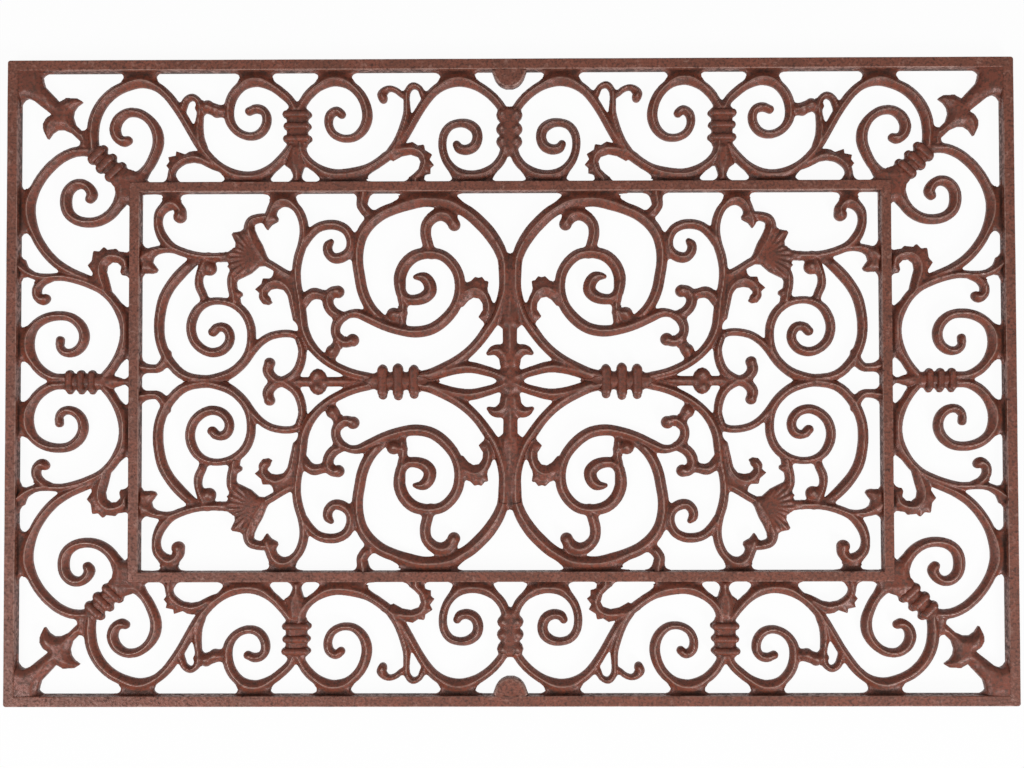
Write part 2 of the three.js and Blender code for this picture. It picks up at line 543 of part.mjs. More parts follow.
const ringLeafShares = [
  [9.8, 20.6], [8.6, 19.7], [7.8, 20], [7, 20.8], [6.3, 20.6], [5.6, 20.8], [5, 20], [4.3, 19.9],
  [4.5, 18.4], [4.2, 17], [3.6, 16], [3, 14.8], [3.4, 13.2], [4.4, 11.6], [5.7, 12.2],
  [6.3, 12.8], [5.4, 14.2], [5.5, 15.5], [6.2, 16.5], [7.3, 16.7], [8.3, 16.1], [9.3, 14.9],
  [10.6, 14.6], [10.6, 18],
];
const upperTendrilShares = [
  [33, 12.8, 0.9], [35, 13.7], [36.1, 15.2], [36.1, 16.9], [35.2, 17.8], [34.2, 17.8],
];
const tendrilArchShares = [[36, 17, 0.9], [37.6, 17.3, 0.95], [39, 17.5, 1.05], [40.3, 16.8], [41.4, 15.2]];
const lowerNubShares = [[34.1, 8.6, 0.7], [34.8, 6.3, 0.95], [35.8, 4.6, 0.85]];
const neckBudShares = [[21.3, 13.6, 0.6], [22.8, 13.4, 0.6]];
const panelRing = [
  bar(ringShares, panelBarWide),
  bar(ringNeckShares, panelBarWide),
  bar(ringVoluteShares, panelBarWide),
  bar(ballBranchShares, panelBarWide),
  bar(upperTendrilShares, panelBarWide),
  bar(tendrilArchShares, panelBarWide),
  bar(lowerNubShares, panelBarWide),
  bar(neckBudShares, panelBarWide),
  plate(ringLeafShares, leafTall),
  knob([10.9, 31.1], 1.05, panelBarWide),
  knob([31, 8.1], 1, panelBarWide),
  knob([34.2, 17.8], 1.15, panelBarWide),
  knob([22.8, 13.4], 0.95, panelBarWide),
];

// Panel, outer bar: from the panel's collar up to the inner rail, with a small volute, a leafy
// curl, a branch to the palmette, and the tie that ends it.
const outerBarShares = [
  [28, 0.85, 0.85], [30.5, 1.4, 0.85], [33, 2.3, 0.85], [35.8, 3.8, 0.85], [38.2, 5.7, 0.85],
  [40, 8, 0.9], [41.1, 10.6, 0.95], [41.5, 13.4, 0.95], [41.8, 16.2, 0.85], [42.3, 19, 0.75],
  [42.5, 21.8, 0.78], [42.1, 24.6, 0.82], [41.3, 27.2, 0.82], [40.9, 29.8, 0.82],
  [41.2, 32.2, 0.82], [42.2, 34.3, 0.82], [43.7, 35.5, 0.8], [45.5, 35.7, 0.85],
  [46.9, 34.9, 0.98], [47.5, 33.6, 0.98], [48.1, 32, 0.8],
];
const smallVoluteShares = [
  [41.5, 26.6, 0.8], [40, 28.9, 0.85], [38.3, 30.5, 0.85], [36.4, 31.1, 0.88],
  [34.3, 31, 0.9], [32.5, 30, 0.9], [31.6, 28, 0.85], [31.9, 26, 0.85], [33.3, 24.7, 0.95],
  [35, 24.5, 0.95], [36.1, 25.6, 0.9], [36.2, 26.9, 0.8], [35.5, 27.8, 0.4],
];
const leafyCurlShares = [
  [42, 10.5], [42.3, 16.5], [42.7, 21.9], [44.3, 21.7], [46.8, 22.7], [47.2, 21.1], [47.7, 20.5],
  [49.2, 20.5], [49.5, 19.4], [50.8, 18.3], [49.9, 17.6], [49.9, 16.3], [49.2, 15.4], [48.1, 15.2],
  [47.3, 15.7], [48.3, 16.9], [48.3, 17.6], [47.6, 18.3], [46.5, 18.5], [45.1, 18.2], [44.2, 17],
  [43.6, 15.4], [42.8, 12.2],
];
const palmetteBranchShares = [[43, 20.6, 0.75], [45.4, 21.9, 0.75], [47.5, 23.2, 0.75], [49.4, 24.2, 0.75]];
const heartBarbShares = [
  [46.6, 33.6], [46, 32.5], [46.1, 31.9], [47.4, 31.2], [48.2, 30.1], [48.6, 30.6], [49.1, 31.5],
  [49.2, 32.4], [49, 33.4], [47.8, 34],
];
const outerBarWebShares = [
  [42.1, 37.9], [42.6, 36.3], [43.3, 35.2], [47, 35.2], [47.9, 36.3], [48.3, 37.9],
];
const voluteWebShares = [[29.8, 29.3], [31, 29.3], [32.3, 28.7], [32.3, 25.2], [31.1, 24], [29.8, 24]];
const panelOuter = [
  bar(outerBarShares, panelBarWide),
  bar(smallVoluteShares, panelBarWide),
  bar(palmetteBranchShares, panelBarWide),
  plate(leafyCurlShares, leafTall),
  plate(heartBarbShares, leafTall),
  plate(outerBarWebShares, webTall),
  plate(voluteWebShares, webTall),
];

// Panel, palmette: a fluted fan on the heart tie, with a lower curl, a branch and a hook on the
// inner rail, an S-tendril and a ball tie.
const fanShares = [
  [50.8, 30.4], [52.8, 30.1], [54.9, 29.7], [55.4, 29.3], [54.6, 27.6], [54.7, 26.7],
  [56.1, 25.8], [57.6, 25.6], [57.6, 23.8], [56.1, 23.8], [56, 23.2], [56.3, 22.8], [55.5, 22],
  [55.6, 21], [54.2, 20.2], [53.1, 20.7], [51.5, 21.5], [49.9, 22.9], [48.6, 23], [48.2, 24.6],
  [49.2, 27.2], [50.1, 28.8],
];
const fanStemShares = [
  [48.4, 32.8, 0.75], [50.2, 32.5, 0.85], [51.4, 32, 0.9], [51.9, 30.9, 0.95], [51.8, 29.2],
];
const lowerCurlShares = [
  [54.9, 22, 0.85], [55.4, 20.2, 0.88], [55.3, 18.6, 0.88], [55, 17.2, 0.88], [54.7, 15.4, 0.85],
];
const lowerBarbShares = [[54.4, 18.4], [53.3, 17.6], [53.3, 17], [54.3, 16.4], [55, 17.4]];
const fanBranchShares = [
  [56.4, 24.8, 0.85], [59, 24.7, 0.82], [62, 24.9, 0.8], [65, 25.7, 0.8], [67.4, 26.8, 0.85],
  [69, 28.4, 0.95], [69.9, 30.2, 0.85], [70.2, 32, 0.8], [69.8, 33.8, 0.9], [68.5, 35, 0.95],
  [66.9, 35.2, 0.9], [65.7, 34.2, 0.95], [65.6, 33],
];
const railBranchShares = [
  [66, 26, 0.6], [68.5, 26.4, 0.65], [70.6, 26.1, 0.8], [72.2, 25.2], [73.9, 24.4, 1.1],
];
const railHookShares = [
  [70.8, 25.3], [71.2, 23.8], [70.1, 22.3], [70.5, 21.7], [71.4, 21.5], [72.6, 21.7], [73.8, 21.2],
  [73.8, 26.6], [71.9, 26.6],
];
const ballTieToRingShares = [
  [60, 25, 0.8], [61.2, 22.9, 0.75], [62, 20.4, 0.72], [61.9, 18.8, 0.78],
  [61.3, 17.4, 0.75], [60.7, 15.8, 0.75],
];
const tendrilWebShares = [[65, 37.9], [65.7, 36.4], [66.3, 35.3], [68.9, 35.3], [69.3, 36.5], [70.1, 37.9]];
const fanBranch = bar(fanBranchShares, panelBarWide);
const palmette = [
  plate(fanShares, leafTall),
  bar(fanStemShares, panelBarWide),
  bar(lowerCurlShares, panelBarWide),
  plate(lowerBarbShares, leafTall),
  fanBranch,
  bar(railBranchShares, panelBarWide),
  plate(railHookShares, leafTall),
  bar(ballTieToRingShares, panelBarWide),
  knob([65.8, 32.9], 1.2, panelBarWide),
  knob([59.9, 22.5], 1.35, panelBarWide),
  plate(tendrilWebShares, webTall),
];

// Panel, side ring: one long spiral, swept from the palmette's branch down to the middle line
// and on round the ring into its own volute, with an arch to the outer bar and a short bar to
// the inner rail.
const sweepShares = [
  [62.9, 24, 0.9], [64.4, 22.7, 0.95], [66, 21.1], [67.7, 19, 0.95], [69, 16.6, 0.95],
  [69.7, 13.8, 0.92], [69.95, 11, 0.9], [69.7, 8.3, 0.88], [68.7, 5.5, 0.88], [67, 3, 0.88],
  [65.2, 1.4, 0.88], [63, 0.6, 0.85], [60.4, 0.35, 0.85],
];
const spiralShares = [
  [63, 0.6, 0.85], [60.4, 0.35, 0.85], [57.6, 0.9, 0.85], [55, 2.1, 0.82], [53.1, 3.9, 0.8],
  [51.9, 6.1, 0.78], [51.5, 8.6, 0.78], [51.7, 11, 0.8], [52.8, 13.4, 0.82], [54.7, 15.1, 0.8],
  [57.2, 15.9, 0.68], [59.8, 15.8, 0.68], [61.9, 14.7, 0.78], [63.2, 12.7, 0.85],
  [63.6, 10.4, 0.85], [62.9, 8, 0.85], [61.3, 6.4, 0.85], [59.3, 5.7, 0.87], [57.3, 6.2, 0.87],
  [56, 7.7, 0.85], [55.9, 9.4, 0.85], [56.8, 10.6, 0.88], [58.2, 10.7, 0.8], [59.2, 9.8, 0.45],
];
const ringArchShares = [
  [41.6, 8.8, 0.7], [43.4, 9.5, 0.7], [45.8, 9.5, 0.7], [48, 8.9, 0.7], [49.9, 7.6, 0.7],
  [51.4, 5.9, 0.72], [53, 3.7, 0.75], [55, 1.9, 0.8], [57.2, 0.6, 0.85],
];
const railBarShares = [
  [68.2, 5.6, 0.8], [68.9, 3.8, 0.85], [70, 2.7, 0.8], [71.4, 2.6, 0.8], [73.9, 3, 0.95],
];
const spiral = bar(spiralShares, panelBarWide);
const sideRing = [
  spiral,
  bar(sweepShares, panelBarWide),
  bar(ringArchShares, panelBarWide),
  bar(railBarShares, panelBarWide),
];

// What each piece of the back right quarter gives way to, besides the frames.
const quarterPieces = {
  side_collar_scroll: [sideCollar],
  corner_finial: [cornerFinial],
  long_inner_scroll: [longInner, longCentre, sideCollar],
  long_outer_scroll: [longOuter, sideCollar, cornerFinial],
  corner_volutes: [cornerVolutes, cornerFinial],
  short_scroll: [shortScroll, shortCentre, cornerFinial],
  panel_heart: [panelHeart, centreSpindle, panelRing],
  panel_ring: [panelRing, centreSpindle, panelOuter],
  panel_outer_scroll: [panelOuter, panelSide, panelHeart],
  palmette: [palmette, panelOuter, [spiral]],
  side_ring: [sideRing, panelSide, panelOuter, [fanBranch]],
};

const framesSpace = joined([outerRailBack, outerRailRight, innerRailBack, innerRailRight], clearance);

function trimmed(makers, ...neighbours) {
  const spaces = [framesSpace, ...neighbours.map((neighbour) => joined(neighbour, clearance))];
  return withoutCrumbs(spaces.reduce((solid, space) => solid.subtract(space), joined(makers, 0)));
}

// A quarter piece keeps to its own side of the two middle lines.
const quarterPlan = [0, 0, matLong / 2, matDeep / 2];
const quarterField = loft([
  level(quarterPlan, clearance / 2, -overrun),
  level(quarterPlan, clearance / 2, railTall + overrun),
]);

// Colours of the brown, rubbed iron.
const railIron = new THREE.MeshStandardMaterial({ color: 0x7d4a3c, roughness: 0.6, metalness: 0.35 });
const scrollIron = new THREE.MeshStandardMaterial({ color: 0x74463a, roughness: 0.55, metalness: 0.4 });
const collarIron = new THREE.MeshStandardMaterial({ color: 0x6a4036, roughness: 0.65, metalness: 0.35 });

const doormat = new THREE.Group();

function addPiece(name, solid, material, flip = [1, 1]) {
  const { vertProperties, triVerts } = solid.asOriginal().simplify(leastEdgeLong).getMesh();
  const geometry = new THREE.BufferGeometry();
  geometry.setAttribute("position", new THREE.BufferAttribute(vertProperties, 3));
  geometry.setIndex(new THREE.BufferAttribute(triVerts, 1));
  geometry.computeVertexNormals();
  const mesh = new THREE.Mesh(geometry, material);
  mesh.name = name;
  mesh.scale.set(flip[0], flip[1], 1);
  doormat.add(mesh);
}

const outerRailSolid = joined([outerRailBack, midBoss], 0);
const longCentreSolid = trimmed(longCentre);
const shortCentreSolid = trimmed(shortCentre);
const panelSideSolid = trimmed(panelSide);
for (const [end, flip] of [["back", 1], ["front", -1]]) {
  addPiece("outer_rail_" + end, outerRailSolid, railIron, [1, flip]);
  addPiece("inner_rail_" + end, innerRailBack(0), railIron, [1, flip]);
  addPiece("long_centre_scroll_" + end, longCentreSolid, collarIron, [1, flip]);
}
for (const [side, flip] of [["right", 1], ["left", -1]]) {
  addPiece("outer_rail_" + side, outerRailRight(0), railIron, [flip, 1]);
  addPiece("inner_rail_" + side, innerRailRight(0), railIron, [flip, 1]);
  addPiece("short_centre_scroll_" + side, shortCentreSolid, collarIron, [flip, 1]);
  addPiece("panel_side_scroll_" + side, panelSideSolid, collarIron, [flip, 1]);
}
const panelSideSpace = joined(panelSide, clearance);
const spindleSolid = joined(centreSpindle, 0)
  .subtract(panelSideSpace)
  .subtract(panelSideSpace.mirror([1, 0, 0]));
addPiece("centre_spindle", spindleSolid, scrollIron);

const quarters = { back_right: [1, 1], back_left: [-1, 1], front_right: [1, -1], front_left: [-1, -1] };
for (const [name, [makers, ...neighbours]] of Object.entries(quarterPieces)) {
  const solid = trimmed(makers, ...neighbours).intersect(quarterField);
  for (const [quarter, flip] of Object.entries(quarters)) {
    addPiece(name + "_" + quarter, solid, scrollIron, flip);
  }
}

export default doormat;
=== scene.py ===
import math

import bmesh
import bpy
import numpy as np
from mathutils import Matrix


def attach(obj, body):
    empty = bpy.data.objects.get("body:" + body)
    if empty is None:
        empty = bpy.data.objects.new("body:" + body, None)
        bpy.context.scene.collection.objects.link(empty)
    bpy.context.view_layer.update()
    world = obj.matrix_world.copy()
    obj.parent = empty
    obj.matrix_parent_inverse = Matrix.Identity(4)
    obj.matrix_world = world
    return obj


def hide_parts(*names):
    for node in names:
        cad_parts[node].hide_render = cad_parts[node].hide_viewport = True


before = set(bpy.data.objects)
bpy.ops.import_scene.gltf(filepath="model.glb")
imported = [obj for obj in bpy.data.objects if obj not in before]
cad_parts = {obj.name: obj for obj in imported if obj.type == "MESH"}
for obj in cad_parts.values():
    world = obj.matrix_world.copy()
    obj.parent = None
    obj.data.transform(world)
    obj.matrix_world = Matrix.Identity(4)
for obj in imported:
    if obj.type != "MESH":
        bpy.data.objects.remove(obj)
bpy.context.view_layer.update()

# Outer frame: four flat cast rails that carry the mat, in sand-cast iron with a brown rust
# finish. They are poured in one with the rest and meet in plain mitred corners. The two long
# ones swell into a boss at mid length.
mat_long = 0.725
mat_deep = 0.465
band_wide = 0.080
outer_rail_wide = 0.0084
inner_rail_wide = 0.008
rail_tall = 0.010
arris_round = 0.0007
corner_round = 0.0022
turn_points = 5
outer_rail_drafts = [0.0006, 0.0003]
inner_rail_drafts = [0.0004, 0.0004]
rail_step = 0.0022
rail_sink = 0.00035
knee_in_share = 0.5
knee_up_share = 0.45
land_from_arris = 1.6
land_share = 0.3
corner_stop_shares = (0.25, 0.5, 0.75)
dark_from_share = 0.95
dark_over_share = 0.4
side_dark_share = 0.62
inner_rub_share = 0.8
outer_rub_share = 0.4
rail_waves = ((61, 37, 0), (23, -71, 2), (131, 113, 4))
weld_gap = 1e-6
worn_fade_long = 0.008
corner_plate_long = 0.03

right_knot_shares = [0, 73.4, 75.6, 97.7, 100]
back_knot_shares = [0, 37.5, 39.6, 61.7, 64]
outer_face_right = mat_long / 2 - outer_rail_wide
outer_face_back = mat_deep / 2 - outer_rail_wide
inner_face_right = outer_face_right - band_wide
inner_face_back = outer_face_back - band_wide
panel_right = inner_face_right - inner_rail_wide
panel_back = inner_face_back - inner_rail_wide
right_knots = [0, panel_right, inner_face_right, outer_face_right, mat_long / 2]
back_knots = [0, panel_back, inner_face_back, outer_face_back, mat_deep / 2]


def on_mat(row):
    """A place on the squared paper of the pattern, in metres on the mat."""
    right, back = row[0], row[1]
    x = np.sign(right) * np.interp(abs(right), right_knot_shares, right_knots)
    y = np.sign(back) * np.interp(abs(back), back_knot_shares, back_knots)
    return float(x), float(y)


def linear(red, green, blue):
    """A colour of the paint box, 0 to 255, as the shaders want it."""
    parts = [c / 255 for c in (red, green, blue)]
    return [c / 12.92 if c <= 0.04045 else ((c + 0.055) / 1.055) ** 2.4 for c in parts] + [1]


def node(tree, kind, **settings):
    """A node of a tree, with its settings."""
    made = tree.nodes.new(kind)
    for name, value in settings.items():
        setattr(made, name, value)
    return made


def math_node(tree, operation, *values):
    """The result of a sum, whose values are numbers or sockets."""
    made = node(tree, "ShaderNodeMath", operation=operation)
    for socket, value in zip(made.inputs, values):
        if isinstance(value, (int, float)):
            socket.default_value = value
        else:
            tree.links.new(value, socket)
    return made.outputs[0]


def ramp_node(tree, value, low, high):
    """0 below low, 1 above high, and smooth between."""
    made = node(tree, "ShaderNodeMapRange", interpolation_type="SMOOTHSTEP")
    tree.links.new(value, made.inputs["Value"])
    made.inputs["From Min"].default_value = low
    made.inputs["From Max"].default_value = high
    return made.outputs["Result"]


def noise_node(tree, place, scale, detail, roughness):
    """A cloudy noise, from 0 to 1."""
    made = node(tree, "ShaderNodeTexNoise")
    tree.links.new(place, made.inputs["Vector"])
    if isinstance(scale, (int, float)):
        made.inputs["Scale"].default_value = scale
    else:
        tree.links.new(scale, made.inputs["Scale"])
    made.inputs["Detail"].default_value = detail
    made.inputs["Roughness"].default_value = roughness
    return made.outputs["Fac"]


def new_tree(name, kind, taken, given_back):
    """An empty tree with its named sockets, and its two end nodes. Taken has a name, a kind and
    a first value for each input, and given_back a name and a kind for each output."""
    tree = bpy.data.node_groups.new(name, kind)
    for label, socket_kind, value in taken:
        socket = tree.interface.new_socket(
            label, in_out="INPUT", socket_type="NodeSocket" + socket_kind
        )
        if value is not None:
            socket.default_value = value
    for label, socket_kind in given_back:
        tree.interface.new_socket(
            label, in_out="OUTPUT", socket_type="NodeSocket" + socket_kind
        )
    return tree, node(tree, "NodeGroupInput"), node(tree, "NodeGroupOutput")


fleck_height_share = 0.65
grain_height_share = 0.35


def sand_skin_group():
    """The skin that the moulding sand leaves: blotches of rust, small flecks and a fine grain."""
    tree, given, out = new_tree(
        "sand_skin", "ShaderNodeTree",
        [("Blotches", "Float", 70), ("Flecks", "Float", 420), ("Grain", "Float", 1500)],
        [("Blotch", "Float"), ("Fleck", "Float"), ("Speck", "Float"), ("Height", "Float")],
    )
    link = tree.links.new
    place = node(tree, "ShaderNodeTexCoord").outputs["Object"]
    blotch = noise_node(tree, place, given.outputs["Blotches"], detail=4, roughness=0.6)
    fleck = noise_node(tree, place, given.outputs["Flecks"], detail=3, roughness=0.6)
    grain = noise_node(tree, place, given.outputs["Grain"], detail=2, roughness=0.5)
    link(ramp_node(tree, blotch, low=0.36, high=0.66), out.inputs["Blotch"])
    link(ramp_node(tree, fleck, low=0.44, high=0.66), out.inputs["Fleck"])
    link(ramp_node(tree, grain, low=0.5, high=0.72), out.inputs["Speck"])
    rough = math_node(tree, "MULTIPLY", fleck, fleck_height_share)
    fine = math_node(tree, "MULTIPLY", grain, grain_height_share)
    link(math_node(tree, "ADD", rough, fine), out.inputs["Height"])
    return tree


patch_scale = 260
patch_swing = 1.6


def rubbed_relief_group():
    """Where the finish darkens, partly patina in the hollows and partly painted shade, and where a
    painted highlight lies along the crests.
    """
    tree, given, out = new_tree(
        "rubbed_relief", "ShaderNodeTree",
        [("Hollow", "Float", 1), ("Crest", "Float", 1), ("Break up", "Float", 0.35)],
        [("Hollow", "Float"), ("Crest", "Float")],
    )
    place = node(tree, "ShaderNodeTexCoord").outputs["Object"]
    patches = noise_node(tree, place, patch_scale, detail=3, roughness=0.6)
    swing = math_node(tree, "SUBTRACT", patches, 0.5)
    swing = math_node(tree, "MULTIPLY", swing, given.outputs["Break up"])
    for name in ("Hollow", "Crest"):
        relief = node(tree, "ShaderNodeAttribute", attribute_name=name.lower()).outputs["Fac"]
        sign = 1 if name == "Hollow" else -1
        swung = math_node(tree, "MULTIPLY", swing, sign * patch_swing)
        moved = math_node(tree, "ADD", relief, swung)
        shaped = ramp_node(tree, moved, low=0.12, high=0.88)
        amount = math_node(tree, "MULTIPLY", shaped, given.outputs[name])
        tree.links.new(amount, out.inputs[name])
    return tree


sand_skin = sand_skin_group()
rubbed_relief = rubbed_relief_group()
fleck_cover_share = 0.88
speck_cover_share = 0.3
hollow_dulls = 0.25
fleck_dulls = 0.18
crest_dulls = -0.1
finish_metallic = 0.04
finish_specular = 0.6
bump_strength = 0.8


def iron_finish(name, body, rust, dark, hollow, crest, skin, relief, roughness, bump):
    """Brown finish on cast iron: colours as 0 to 255, skin and relief as values of the groups."""
    material = bpy.data.materials.new(name)
    material.use_nodes = True
    tree = material.node_tree
    shader = tree.nodes["Principled BSDF"]
    grain = node(tree, "ShaderNodeGroup", node_tree=sand_skin)
    worn = node(tree, "ShaderNodeGroup", node_tree=rubbed_relief)
    for socket, value in zip(grain.inputs, skin):
        socket.default_value = value
    for socket, value in zip(worn.inputs, relief):
        socket.default_value = value
    colour = None
    flecks = math_node(tree, "MULTIPLY", grain.outputs["Fleck"], fleck_cover_share)
    specks = math_node(tree, "MULTIPLY", grain.outputs["Speck"], speck_cover_share)
    # The hollow paint is partly patina and partly painted shade; the crest paint is a painted
    # highlight.
    for share, paint in (
        (grain.outputs["Blotch"], rust),
        (flecks, dark),
        (worn.outputs["Hollow"], hollow),
        (specks, dark),
        (worn.outputs["Crest"], crest),
    ):
        mix = node(tree, "ShaderNodeMix", data_type="RGBA")
        tree.links.new(share, mix.inputs["Factor"])
        if colour is None:
            mix.inputs["A"].default_value = linear(*body)
        else:
            tree.links.new(colour, mix.inputs["A"])
        mix.inputs["B"].default_value = linear(*paint)
        colour = mix.outputs["Result"]
    tree.links.new(colour, shader.inputs["Base Color"])
    dull = math_node(tree, "MULTIPLY", worn.outputs["Hollow"], hollow_dulls)
    dry = math_node(tree, "MULTIPLY_ADD", grain.outputs["Fleck"], fleck_dulls, roughness)
    shine = math_node(tree, "MULTIPLY", worn.outputs["Crest"], crest_dulls)
    dull = math_node(tree, "ADD", dull, dry)
    tree.links.new(math_node(tree, "ADD", dull, shine), shader.inputs["Roughness"])
    shader.inputs["Metallic"].default_value = finish_metallic
    shader.inputs["Specular IOR Level"].default_value = finish_specular
    relief_bump = node(tree, "ShaderNodeBump")
    relief_bump.inputs["Distance"].default_value = bump
    relief_bump.inputs["Strength"].default_value = bump_strength
    tree.links.new(grain.outputs["Height"], relief_bump.inputs["Height"])
    tree.links.new(relief_bump.outputs["Normal"], shader.inputs["Normal"])
    return material


rail_finish = iron_finish(
    "rail_iron_finish",
    body=(122, 70, 53), rust=(137, 77, 59), dark=(88, 50, 37), hollow=(66, 36, 27),
    crest=(172, 138, 126), skin=(60, 520, 1500), relief=(1.0, 0.6, 1.6),
    roughness=0.44, bump=0.0005,
)


def mesh_object(name, points, faces, material):
    """A new object in the scene, of one mesh in one material."""
    data = bpy.data.meshes.new(name)
    data.from_pydata([tuple(p) for p in points], [], [tuple(f) for f in faces])
    data.materials.append(material)
    made = bpy.data.objects.new(name, data)
    bpy.context.scene.collection.objects.link(made)
    return made


def keep_at_points(data, **fields):
    """Keeps values from 0 to 1 at a mesh's points, such as how much painted shade and patina and
    how much painted highlight each point takes, for the finish and the trees to read."""
    for name, values in fields.items():
        kept = data.attributes.new(name, "FLOAT", "POINT")
        kept.data.foreach_set("value", np.clip(values, 0, 1).astype(np.float32))


def stand_for(piece, node_name):
    """Puts a finished piece in the place of its plain solid."""
    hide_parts(node_name)
    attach(piece, "root")


def rail_section(wide, inner_draft, outer_draft):
    """Across a rail, from the foot of the inner side over the top to the foot of the outer."""
    half = wide / 2
    sides = []
    for draft in (inner_draft, outer_draft):
        side = [(-half, 0.0), (-half + draft * knee_in_share, rail_tall * knee_up_share)]
        for i in range(turn_points + 1):
            a = math.pi / 2 * i / turn_points
            inward = draft + arris_round * (1 - math.cos(a))
            side.append((-half + inward, rail_tall - arris_round * (1 - math.sin(a))))
        side.append((-half + draft + arris_round * land_from_arris, rail_tall))
        side.append((-half * land_share, rail_tall))
        sides.append(side)
    return sides[0] + [(-x, z) for x, z in reversed(sides[1])]


def rail_piece(name, middle_x, middle_y, turned, span, wide, drafts, plain):
    """One mitred rail. It runs along x, or along y where turned, and span is its outer length.
    The last argument gives how far from the corner each arris, inner and outer, has no painted
    highlight."""
    section = rail_section(wide, *drafts)
    stations = list(np.linspace(-1, 1, int(span / rail_step)))
    for back in corner_stop_shares:
        stations += [1 - back * 2 * corner_round / span, back * 2 * corner_round / span - 1]
    stations = sorted(stations)
    steps = len(stations) - 1
    points = []
    for share in stations:
        for across, z in section:
            points.append((share * (span / 2 - wide / 2 + across), across, z))
    sides = len(section)
    faces = []
    for i in range(steps):
        for s in range(sides):
            a, b = i * sides + s, i * sides + (s + 1) % sides
            faces.append((a, a + sides, b + sides, b))
    faces.append(tuple(range(sides)))
    faces.append(tuple(reversed(range(steps * sides, (steps + 1) * sides))))
    placed = []
    for along, across, z in points:
        if turned:
            outward = 1 if middle_x > 0 else -1
            placed.append((middle_x + outward * across, -outward * along, z))
        else:
            outward = 1 if middle_y > 0 else -1
            placed.append((outward * along, middle_y + outward * across, z))
    piece = mesh_object(name, placed, faces, rail_finish)
    grid = np.array(placed)
    for vertex, moved in zip(piece.data.vertices, rounded_corners(rail_drift(grid))):
        vertex.co = moved
    # Painted shade: the rail's sides darken towards their foot. Painted highlight: a pale line
    # along each arris, fading out near the corners.
    below = (rail_tall * dark_from_share - grid[:, 2]) / (rail_tall * dark_over_share)
    hollow = np.clip(below, 0, 1) * side_dark_share
    arris = np.sin(np.linspace(0, math.pi, turn_points + 1)) ** 0.5
    from_corner = span / 2 * (1 - np.abs(stations))
    rubbed = [np.clip((from_corner - length) / worn_fade_long, 0, 1) for length in plain]
    worn = [
        [0, 0, *(inner_rub_share * inner * arris), 0, 0, 0, 0]
        + [*(outer_rub_share * outer * arris), 0, 0]
        for inner, outer in zip(*rubbed)
    ]
    keep_at_points(piece.data, hollow=hollow, crest=np.ravel(worn))
    face_outwards(piece)
    smooth_but_ends(piece)
    return piece


def rounded_corners(grid):
    """The mat's four corners are eased to a small round."""
    over = np.abs(grid[:, :2]) - np.array([mat_long, mat_deep]) / 2 + corner_round
    at_corner = np.all(over > 0, axis=1)
    eased = grid.copy()
    drawn = over[at_corner] * (over[at_corner].max(1) / np.hypot(*over[at_corner].T))[:, None]
    sign = np.sign(grid[at_corner, :2])
    eased[at_corner, :2] = sign * (np.array([mat_long, mat_deep]) / 2 - corner_round + drawn)
    return eased


def waves(x, y, rows):
    """A slow rise and fall over the mat. Each row is one wave: how fast it runs to the right and
    to the back, and where it starts."""
    return sum(np.sin(x * right + y * back + start) for right, back, start in rows)


def rail_drift(grid):
    """The slight hollows of a sand-cast rail: its top sinks by a few tenths of a millimetre."""
    x, y, z = grid.T
    low_share = (waves(x, y, rail_waves) + len(rail_waves)) / (2 * len(rail_waves))
    sunk = z - low_share * rail_sink * (z > rail_tall / 2)
    return np.stack([x, y, sunk], 1)


def face_outwards(piece):
    """Welds a closed mesh and turns its faces outwards."""
    work = bmesh.new()
    work.from_mesh(piece.data)
    bmesh.ops.remove_doubles(work, verts=work.verts, dist=weld_gap)
    bmesh.ops.recalc_face_normals(work, faces=work.faces)
    work.to_mesh(piece.data)
    work.free()


def smooth_but_ends(piece):
    """Smooth along the rail, with hard edges round the mitred ends."""
    piece.data.polygons.foreach_set("use_smooth", [True] * len(piece.data.polygons))
    work = bmesh.new()
    work.from_mesh(piece.data)
    for face in work.faces:
        if len(face.verts) > 4:
            face.smooth = False
            for edge in face.edges:
                edge.smooth = False
    work.to_mesh(piece.data)
    work.free()


outer_mid_x = mat_long / 2 - outer_rail_wide / 2
outer_mid_y = mat_deep / 2 - outer_rail_wide / 2
outer_rails = {
    "outer_rail_back": (0, outer_mid_y, False, mat_long),
    "outer_rail_front": (0, -outer_mid_y, False, mat_long),
    "outer_rail_right": (outer_mid_x, 0, True, mat_deep),
    "outer_rail_left": (-outer_mid_x, 0, True, mat_deep),
}


def add_boss(rail, side):
    """The half-round boss at mid length of a long rail, cast on to its inner face. Each step of
    it says how far in it lies, how high, how much painted shade and how much painted highlight."""
    outline = [*boss_half_shares, *[[-r[0], r[1]] for r in boss_half_shares[::-1]]]
    for _ in range(boss_roundings):
        cut = [outline[0]]
        for a, b in zip(outline, outline[1:]):
            for share in (corner_cut_share, 1 - corner_cut_share):
                cut.append([a[i] * (1 - share) + b[i] * share for i in (0, 1)])
        outline = [*cut, outline[-1]]
    plan = np.array([on_mat(r) for r in outline])
    middle = np.array([0, plan[:, 1].max()])
    work = bmesh.new()
    work.from_mesh(rail.data)
    hollow_of = work.verts.layers.float["hollow"]
    crest_of = work.verts.layers.float["crest"]
    loops = []
    for inset, z, hollow, crest in boss_steps:
        reach = np.hypot(*(plan - middle).T)[:, None]
        drawn = middle + (plan - middle) * (1 - inset / np.maximum(reach, boss_reach_least))
        loop = [work.verts.new((x, side * y, z)) for x, y in drawn]
        for vertex in loop:
            vertex[hollow_of], vertex[crest_of] = hollow, crest
        loops.append(loop)
    made = [work.faces.new(loops[0]), work.faces.new(loops[-1])]
    for low, high in zip(loops, loops[1:]):
        for i in range(len(low)):
            j = (i + 1) % len(low)
            made.append(work.faces.new((low[i], low[j], high[j], high[i])))
    for face in made:
        face.smooth = True
    for edge in loops[0][0].link_edges:
        edge.smooth = False
    bmesh.ops.recalc_face_normals(work, faces=made)
    work.to_mesh(rail.data)
    work.free()


